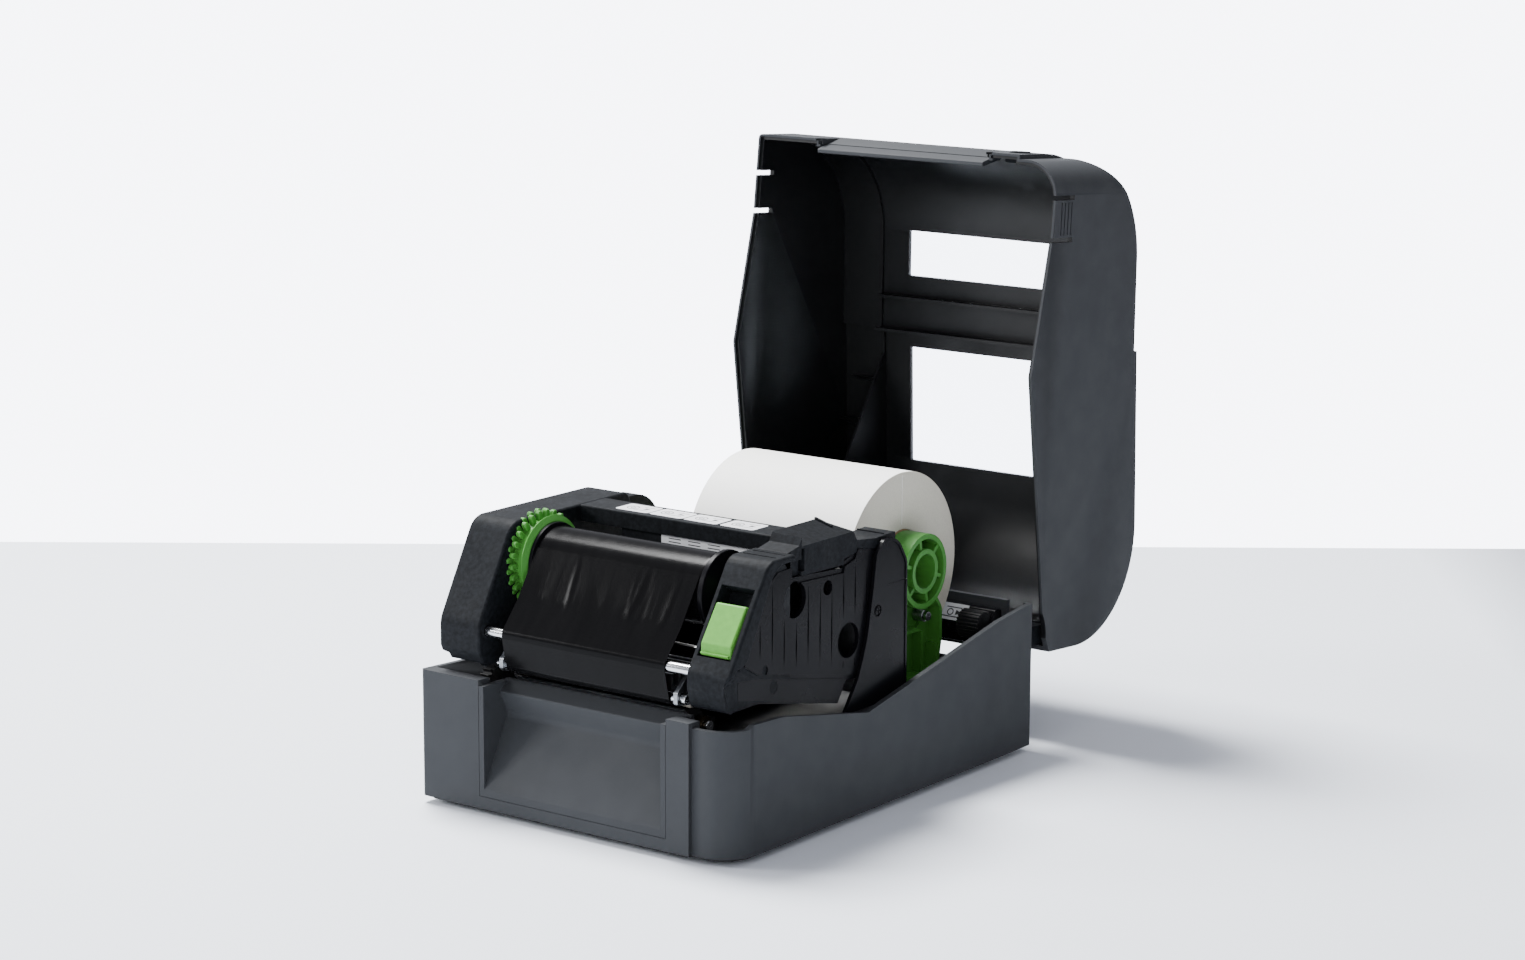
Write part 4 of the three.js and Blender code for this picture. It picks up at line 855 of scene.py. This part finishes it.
def film_roll(node, seed):
    """A wound roll of film: the tight turns stand a little in and out, and its ends are wound rings."""
    centre = middle(node)
    low, high = span(node)
    low.x -= FILM_LEFT if node == "used_ribbon_roll" else 0
    radius = (high.z - low.z) / 2 - 0.12
    rng = random.Random(seed)
    waves = [(rng.uniform(0.5, 3.2), rng.uniform(0, 6.3), rng.uniform(0.02, 0.06)) for _ in range(4)]
    along = 72
    sides = 96
    vertices, faces = [], []
    for i in range(along + 1):
        x = low.x + (high.x - low.x) * i / along
        ripple = sum(a * math.sin(w * (x - low.x) / 9 + p) for w, p, a in waves)
        for k in range(sides):
            angle = 2 * math.pi * k / sides
            r = radius + ripple * 0.8 - (0.25 if i in (0, along) else 0)
            vertices.append((x, centre.y + r * math.cos(angle), centre.z + r * math.sin(angle)))
    for i in range(along):
        for k in range(sides):
            j = (k + 1) % sides
            faces.append((i * sides + k, i * sides + j, (i + 1) * sides + j, (i + 1) * sides + k))
    count = len(vertices)
    bore = 8.9
    for x in (low.x, high.x):
        for r in (bore + 2, bore):
            vertices += [(x, centre.y + r * math.cos(2 * math.pi * k / sides),
                          centre.z + r * math.sin(2 * math.pi * k / sides)) for k in range(sides)]
    ends = []
    for end, ring in ((0, 0), (1, along)):
        outer, mid, inner = ring * sides, count + end * 2 * sides, count + (end * 2 + 1) * sides
        for k in range(sides):
            j = (k + 1) % sides
            ends.append((outer + k, outer + j, mid + j, mid + k))
            ends.append((mid + k, mid + j, inner + j, inner + k))
    wall = [(count + sides + k, count + sides + (k + 1) % sides, count + 3 * sides + (k + 1) % sides,
             count + 3 * sides + k) for k in range(sides)]
    made = solid(vertices, faces + ends + wall)
    for face in made.data.polygons:
        if len(faces) <= face.index < len(faces) + len(ends):
            face.material_index = 1
    return made


def film_web():
    """The ribbon between the rolls, with soft pull lines running down its right half."""
    low, high = span("ribbon_web")
    low.x -= FILM_LEFT
    bend = (24.0, 113.5)

    def touch(y, z, cy, cz, radius):
        away = Vector((y - cy, z - cz))
        angle = math.atan2(away.y, away.x) - math.acos(radius / away.length)
        return (cy + radius * math.cos(angle), cz + radius * math.sin(angle))

    head = 70.95
    path = [touch(*bend, *REWIND, 19.5), bend, (10.8, 98, 4), (10.7, 94.5, 2), (14.3, 78.4, 3), (16.6, 76, 2),
            (28, head), (52, head), (74, 75, 6), (SUPPLY[0] - 5, SUPPLY[1] - 19.2)]
    nodes = outline(path + [(60, 110)], 8)[:-1]
    line = []
    for a, b in zip(nodes, nodes[1:]):
        steps = max(1, round((b - a).length / 2.5))
        line += [a.lerp(b, k / steps) for k in range(steps)]
    line.append(nodes[-1])
    across = 90
    rng = random.Random(5)
    limits = ((0.1, 0.95), (0.008, 0.02), (-0.22, 0.3), (0.2, 0.9))
    pulls = [tuple(rng.uniform(*pair) for pair in limits) for _ in range(16)]
    vertices, run = [], 0.0
    for i, p in enumerate(line):
        if i:
            run += (p - line[i - 1]).length
        ahead = (line[min(i + 1, len(line) - 1)] - line[max(i - 1, 0)]).normalized()
        out = Vector((-ahead.y, ahead.x)) * -1
        share = max(0.0, min(1.0, run / 36))
        strength = math.sin(math.pi * share) if run < 36 else 0
        for k in range(across + 1):
            t = k / across
            x = low.x + (high.x - low.x) * t
            lift = sum(h * math.exp(-(((t - c) - (s - 0.5) * 0.1 * share) / w) ** 2) for c, w, h, s in pulls)
            q = p + out * (lift * strength * 0.9)
            vertices.append((x, q.x, q.y))
    row = across + 1
    faces = [(i * row + k, i * row + k + 1, (i + 1) * row + k + 1, (i + 1) * row + k)
             for i in range(len(line) - 1) for k in range(across)]
    made = solid(vertices, faces)
    thick = made.modifiers.new("film", "SOLIDIFY")
    thick.thickness = 0.12
    thick.offset = 0
    return settle(made)


# ---- labels ----
def label_roll():
    """The wound labels: a smooth cylinder whose ends show the turns, with a loose last turn."""
    low, high = span("label_roll")
    centre = (low + high) / 2
    radius = (high.z - low.z) / 2 - 0.02
    bore = 21.4
    rings = 64
    rng = random.Random(11)
    steps = [rng.uniform(-0.05, 0.05) for _ in range(rings + 1)]
    profile = []
    for k in range(rings + 1):
        r = radius - 0.35 - (radius - 0.35 - bore) * k / rings
        profile.append((high.x - 0.15 + steps[k], r))
    for k in range(rings, -1, -1):
        r = radius - 0.35 - (radius - 0.35 - bore) * k / rings
        profile.append((low.x + 0.15 - steps[k], r))
    profile += [(low.x + 0.35, radius), (high.x - 0.35, radius)]
    made = turned("x", profile, centre.y, centre.z, 160)
    near, far = centre.y - 0.3, centre.y + 0.3
    made = cut(made, block(high.x - 0.6, high.x + 1, near, far, centre.z + 24, centre.z + radius - 1.5))
    for face in made.data.polygons:
        if abs(face.normal.x) > 0.5:
            face.material_index = 1
    return made


def media_guide(node):
    """The media guide with a broad leg: a plate with a curved rim, a channel and a small ledge."""
    extra = outline([(201, 50), (201, 96, 4), (212, 96), (229, 99, 4), (232, 95, 6), (238.6, 86, 7),
                     (238.8, 68, 20), (235, 50)])
    plate = prism("x", extra, 57, 60.2)
    rim = cut(prism("x", extra, 59, 68.4), prism("x", inset_outline(extra, 1.9), 55, 75))
    channel = [prism("x", [(221.6, 50), (221.6, 76), (223.2, 76), (223.2, 50)], 59, 66.5),
               prism("x", [(203, 76), (203, 78), (222, 78), (222, 76)], 59, 67)]
    hub = rod("x", 21.2, 50, 80, 219.5, 109.7)
    new = cut(join(plate, rim, *channel), hub)
    keep = rod("x", 8.2, 57, 80, 223, 83.6)
    new = cut(new, keep)
    if node.endswith("left"):
        new = mirrored(new)
    return join(cad_copy(node), new)


def knob():
    """The knurled end of the rear guide bar."""
    ridge = prism("x", [(-0.9, 0), (-0.35, 0.8), (0.35, 0.8), (0.9, 0)], 0, 14)
    moved(ridge, Matrix.Translation((0, 0, 7.4)))
    ridges = repeated(ridge, 24, (0, 0, 0), (math.radians(15), 0, 0))
    core = turned("x", [(0, 0.01), (0, 7), (0.8, 7.7), (13.2, 7.7), (14, 7), (14, 0.01)], 0, 0, 48)
    return moved(join(core, ridges), Matrix.Translation((67.5, 262, 72.5)))


def stickers():
    """Plain white stickers with line drawings of rolls and arrows, on the top bar."""
    z = 151.02
    pale, ink = [], []
    for x0, x1 in ((-46, -24), (-23, -1), (0, 22), (24, 46)):
        shape = outline([(x0, 93.5, 2), (x1, 93.5, 2), (x1, 108.5, 2), (x0, 108.5, 2)])
        pale.append(prism("z", shape, z, z + 0.12))
        cx = (x0 + x1) / 2
        low, top = z + 0.13, z + 0.2
        for inner, outer, sides in ((3.1, 3.5, 32), (1.1, 1.4, 24)):
            ring = [(low, inner), (top, inner), (top, outer), (low, outer)]
            ink.append(turned("z", ring, cx - 4, 101, sides))
        ink += [block(cx - 1, cx + 8, 97.3, 97.6, low, top), block(cx + 1, cx + 8, 104.5, 104.8, low, top),
                prism("z", [(cx + 4, 99.6), (cx + 7.5, 101), (cx + 4, 102.4)], low, top)]
    pale.append(block(-13, 47, 92.02, 92.14, 136.8, 143))
    ink += [block(x, x + 8, 91.92, 91.98, z, z + 0.5) for x in (-8, 5, 18) for z in (138, 139.8)]
    return gather(*pale), gather(*ink)


def rear_sticker():
    """A white sticker with a line drawing, on the slope of the rear guide bar."""
    pale = block(48, 66, -0.5, 9.5, 0, 0.12)
    ink = gather(block(50, 64, 1.2, 1.8, 0.13, 0.2), block(52, 62, 6.8, 7.4, 0.13, 0.2),
                 turned("z", [(0.13, 1.5), (0.2, 1.5), (0.2, 2.1), (0.13, 2.1)], 55, 4.2, 24),
                 prism("z", [(58.5, 2.6), (62.5, 4.2), (58.5, 5.8)], 0.13, 0.2))
    lean = Matrix.Translation((0, 265.2, 72.2)) @ Matrix.Rotation(math.atan2(8, 5.2), 4, "X")
    return moved(pale, lean), moved(ink, lean)


def spring_coil():
    """The guide's spring as a round wire wound in a helix."""
    low, high = span("guide_spring")
    centre = (low + high) / 2
    turns, per_turn, wire, radius = 6, 20, 0.4, 3.0
    reach = high.x - low.x - 1.0
    vertices, faces = [], []
    count = turns * per_turn
    for i in range(count + 1):
        a = 2 * math.pi * i / per_turn
        for k in range(8):
            b = 2 * math.pi * k / 8
            r = radius + wire * math.cos(b)
            vertices.append((low.x + 0.5 + reach * i / count + wire * math.sin(b),
                             centre.y + r * math.cos(a), centre.z + r * math.sin(a)))
    for i in range(count):
        here, there = i * 8, (i + 1) * 8
        faces += [(here + k, here + (k + 1) % 8, there + (k + 1) % 8, there + k) for k in range(8)]
    faces += [tuple(range(8)), tuple(range(count * 8, count * 8 + 8))]
    return solid(vertices, faces)


# name: (shape, finishes, nodes it stands for, body, edge)
OWN_SHAPES = {
    "casing": (base_casing, "casing_grey", ["base_casing"], "base", 0.45),
    "panel": (front_panel, "casing_grey", ["front_panel"], "base", 0.3),
    "tower_right": (right_tower, "gloss_black", ["right_side_tower"], "base", 0.35),
    "pivot_pin": (pivot_pin, "turned_steel", ["pivot_pin_right"], "base", 0.12),
    "lid": (lid_shell, ["casing_grey", "casing_inside_satin_and_shade"], ["lid_shell"], "lid", 0.4),
    "cheek_left": (left_cheek, "frame_black", ["left_cheek"], "print_frame", 0.3),
    "cheek_right": (right_cheek, "frame_black", ["right_cheek"], "print_frame", 0.35),
    "cover_side": (side_cover, "gloss_black", ["side_cover"], "print_frame", 0.22),
    "housing": (clutch_housing, "frame_black", ["clutch_housing"], "print_frame", 0.45),
    "bar": (top_bar, "frame_black", ["top_bar"], "print_frame", 0.35),
    "button": (latch_button, "green_textured", ["latch_button"], "latch", 0.5),
    "rewind_wheel": (rewind_wheel, ["green_plastic", "gloss_black"], ["rewind_gear"], "rewind_spool", 0.2),
    "ribbon_used": (lambda: film_roll("used_ribbon_roll", 3), ["ribbon_film", "ribbon_edge"],
                    ["used_ribbon_roll"], "rewind_spool", 0),
    "ribbon_fresh": (lambda: film_roll("fresh_ribbon_roll", 4), ["ribbon_film", "ribbon_edge"],
                     ["fresh_ribbon_roll"], "supply_spool", 0),
    "ribbon": (film_web, "ribbon_film", ["ribbon_web"], "print_frame", 0),
    "labels": (label_roll, ["label_paper", "roll_edge"], ["label_roll"], "media_roll", 0),
    "guide_r": (lambda: media_guide("media_guide_right"), "green_plastic",
                ["media_guide_right"], "guide_right", 0.35),
    "guide_l": (lambda: media_guide("media_guide_left"), "green_plastic",
                ["media_guide_left"], "guide_left", 0.35),
    "knob": (knob, "deck_black", [], "base", 0.15),
    "spring": (spring_coil, "turned_steel", ["guide_spring"], "guide_right", 0),
}
for node_name, (node_finish, node_edge) in PLAIN_NODES.items():
    refine(node_name, node_finish, edge=node_edge)
for piece_name, (shape, finishes, nodes, body, edge) in OWN_SHAPES.items():
    dress(shape(), piece_name, body, finishes, nodes, edge=edge, shade=22)
for place, make, body in (("bar", stickers, "print_frame"), ("rear", rear_sticker, "base")):
    pale_shape, ink_shape = make()
    for kind, piece in (("sticker", pale_shape), ("drawing", ink_shape)):
        finish = FINISH["sticker_white" if kind == "sticker" else "sticker_ink"]
        put(piece, place + "_" + kind, body, [finish], "label_paper", edge=0)


# ---- camera, floor and light ----
def camera():
    """Stands in front, to the right of the machine, and looks down at it."""
    yaw, pitch, roll = (math.radians(a) for a in (36.525, 11.507, 0.263))
    ahead = Vector((-math.sin(yaw) * math.cos(pitch), math.cos(yaw) * math.cos(pitch), -math.sin(pitch)))
    level = Vector((math.cos(yaw), math.sin(yaw), 0))
    upright = level.cross(ahead)
    right = math.cos(roll) * level + math.sin(roll) * upright
    up = -math.sin(roll) * level + math.cos(roll) * upright
    data = bpy.data.cameras.new("camera")
    data.lens = 82.62
    data.clip_end = 20
    made = bpy.data.objects.new("camera", data)
    bpy.context.scene.collection.objects.link(made)
    turn = Matrix((right, up, -ahead)).transposed().to_4x4()
    made.matrix_world = Matrix.Translation(TO_FRAME @ Vector((1105.65, -1328.72, 538.94))) @ turn
    bpy.context.scene.camera = made
    return yaw


def area_light(name, place, target, size, power, colour=(1, 1, 1)):
    data = bpy.data.lights.new(name, "AREA")
    data.shape = "RECTANGLE"
    data.size, data.size_y = size
    data.energy = power
    data.color = colour
    made = bpy.data.objects.new(name, data)
    bpy.context.scene.collection.objects.link(made)
    made.location = place
    made.rotation_euler = (Vector(target) - Vector(place)).to_track_quat("-Z", "Y").to_euler()


def studio(yaw):
    """A pale table whose far edge is the horizon, with painted shade on its right side; pale surroundings and
    large soft lights.
    """
    far = 0.534
    side = 3.0
    table = solid(
        [(-side, -side, 0), (side, -side, 0), (side, far, 0), (-side, far, 0)]
        + [(-side, -side, -0.02), (side, -side, -0.02), (side, far, -0.02), (-side, far, -0.02)],
        [(0, 1, 2, 3), (7, 6, 5, 4), (0, 4, 5, 1), (1, 5, 6, 2), (2, 6, 7, 3), (3, 7, 4, 0)],
    )
    table.name = "floor"
    table.data.transform(Matrix.Rotation(yaw, 4, "Z"))
    top = Finish("floor_pale", "e9eef6", 0.6)
    # painted shade: the table top turns from pale to dark grey between 0.44 m and 0.6 m towards the camera's
    # right, so glossy parts reflect a dark floor there
    reach, painted_shade_ramp, painted_shade_mix = (top.nodes.new("ShaderNode" + kind) for kind in ("VectorMath", "MapRange", "Mix"))
    reach.operation = "DOT_PRODUCT"
    painted_shade_mix.data_type = "RGBA"
    reach.inputs[1].default_value = (math.cos(yaw), math.sin(yaw), 0.0)
    painted_shade_ramp.inputs["From Min"].default_value = 0.44
    painted_shade_ramp.inputs["From Max"].default_value = 0.6
    painted_shade_mix.inputs["A"].default_value = top.colour
    painted_shade_mix.inputs["B"].default_value = linear("5c5e64")
    top.links.new(top.place, reach.inputs[0])
    top.links.new(reach.outputs["Value"], painted_shade_ramp.inputs["Value"])
    top.links.new(painted_shade_ramp.outputs["Result"], painted_shade_mix.inputs["Factor"])
    top.links.new(painted_shade_mix.outputs["Result"], top.shader.inputs["Base Color"])
    table.data.materials.append(top.made)
    world = bpy.data.worlds.new("surroundings")
    bpy.context.scene.world = world
    world.use_nodes = True
    # the surroundings are dim, apart from a bright backdrop low beyond the table
    new = world.node_tree.nodes.new
    wire = world.node_tree.links.new
    sky = world.node_tree.nodes["Background"]
    sky.inputs["Color"].default_value = linear("eff1fb")
    aim, split, both = (new("ShaderNode" + kind) for kind in ("VectorMath", "SeparateXYZ", "Math"))
    aim.operation = "DOT_PRODUCT"
    both.operation = "MULTIPLY"
    aim.inputs[1].default_value = (-math.sin(yaw), math.cos(yaw), 0.0)
    heading = new("ShaderNodeTexCoord").outputs["Generated"]
    wire(heading, aim.inputs[0])
    wire(heading, split.inputs[0])
    ramps = ((0, aim.outputs["Value"], 0.45, 0.85), (1, split.outputs["Z"], 0.1, 0.0))
    for slot, source, start, end in ramps:
        ramp = new("ShaderNodeMapRange")
        ramp.inputs["From Min"].default_value = start
        ramp.inputs["From Max"].default_value = end
        wire(source, ramp.inputs["Value"])
        wire(ramp.outputs["Result"], both.inputs[slot])
    bright = new("ShaderNodeMapRange")
    bright.inputs["To Min"].default_value = 0.6
    bright.inputs["To Max"].default_value = 8.5
    wire(both.outputs["Value"], bright.inputs["Value"])
    wire(bright.outputs["Result"], sky.inputs["Strength"])
    area_light("key_light", (-0.85, 0.2, 2.0), (0, 0, 0.1), (0.9, 0.9), 165)
    area_light("side_light", (-1.75, -1.25, 0.95), (0, 0, 0.1), (0.6, 0.6), 40)
    area_light("front_light", (0.9, -2.2, 0.8), (0, 0, 0.1), (2.4, 1.6), 22)


studio(camera())
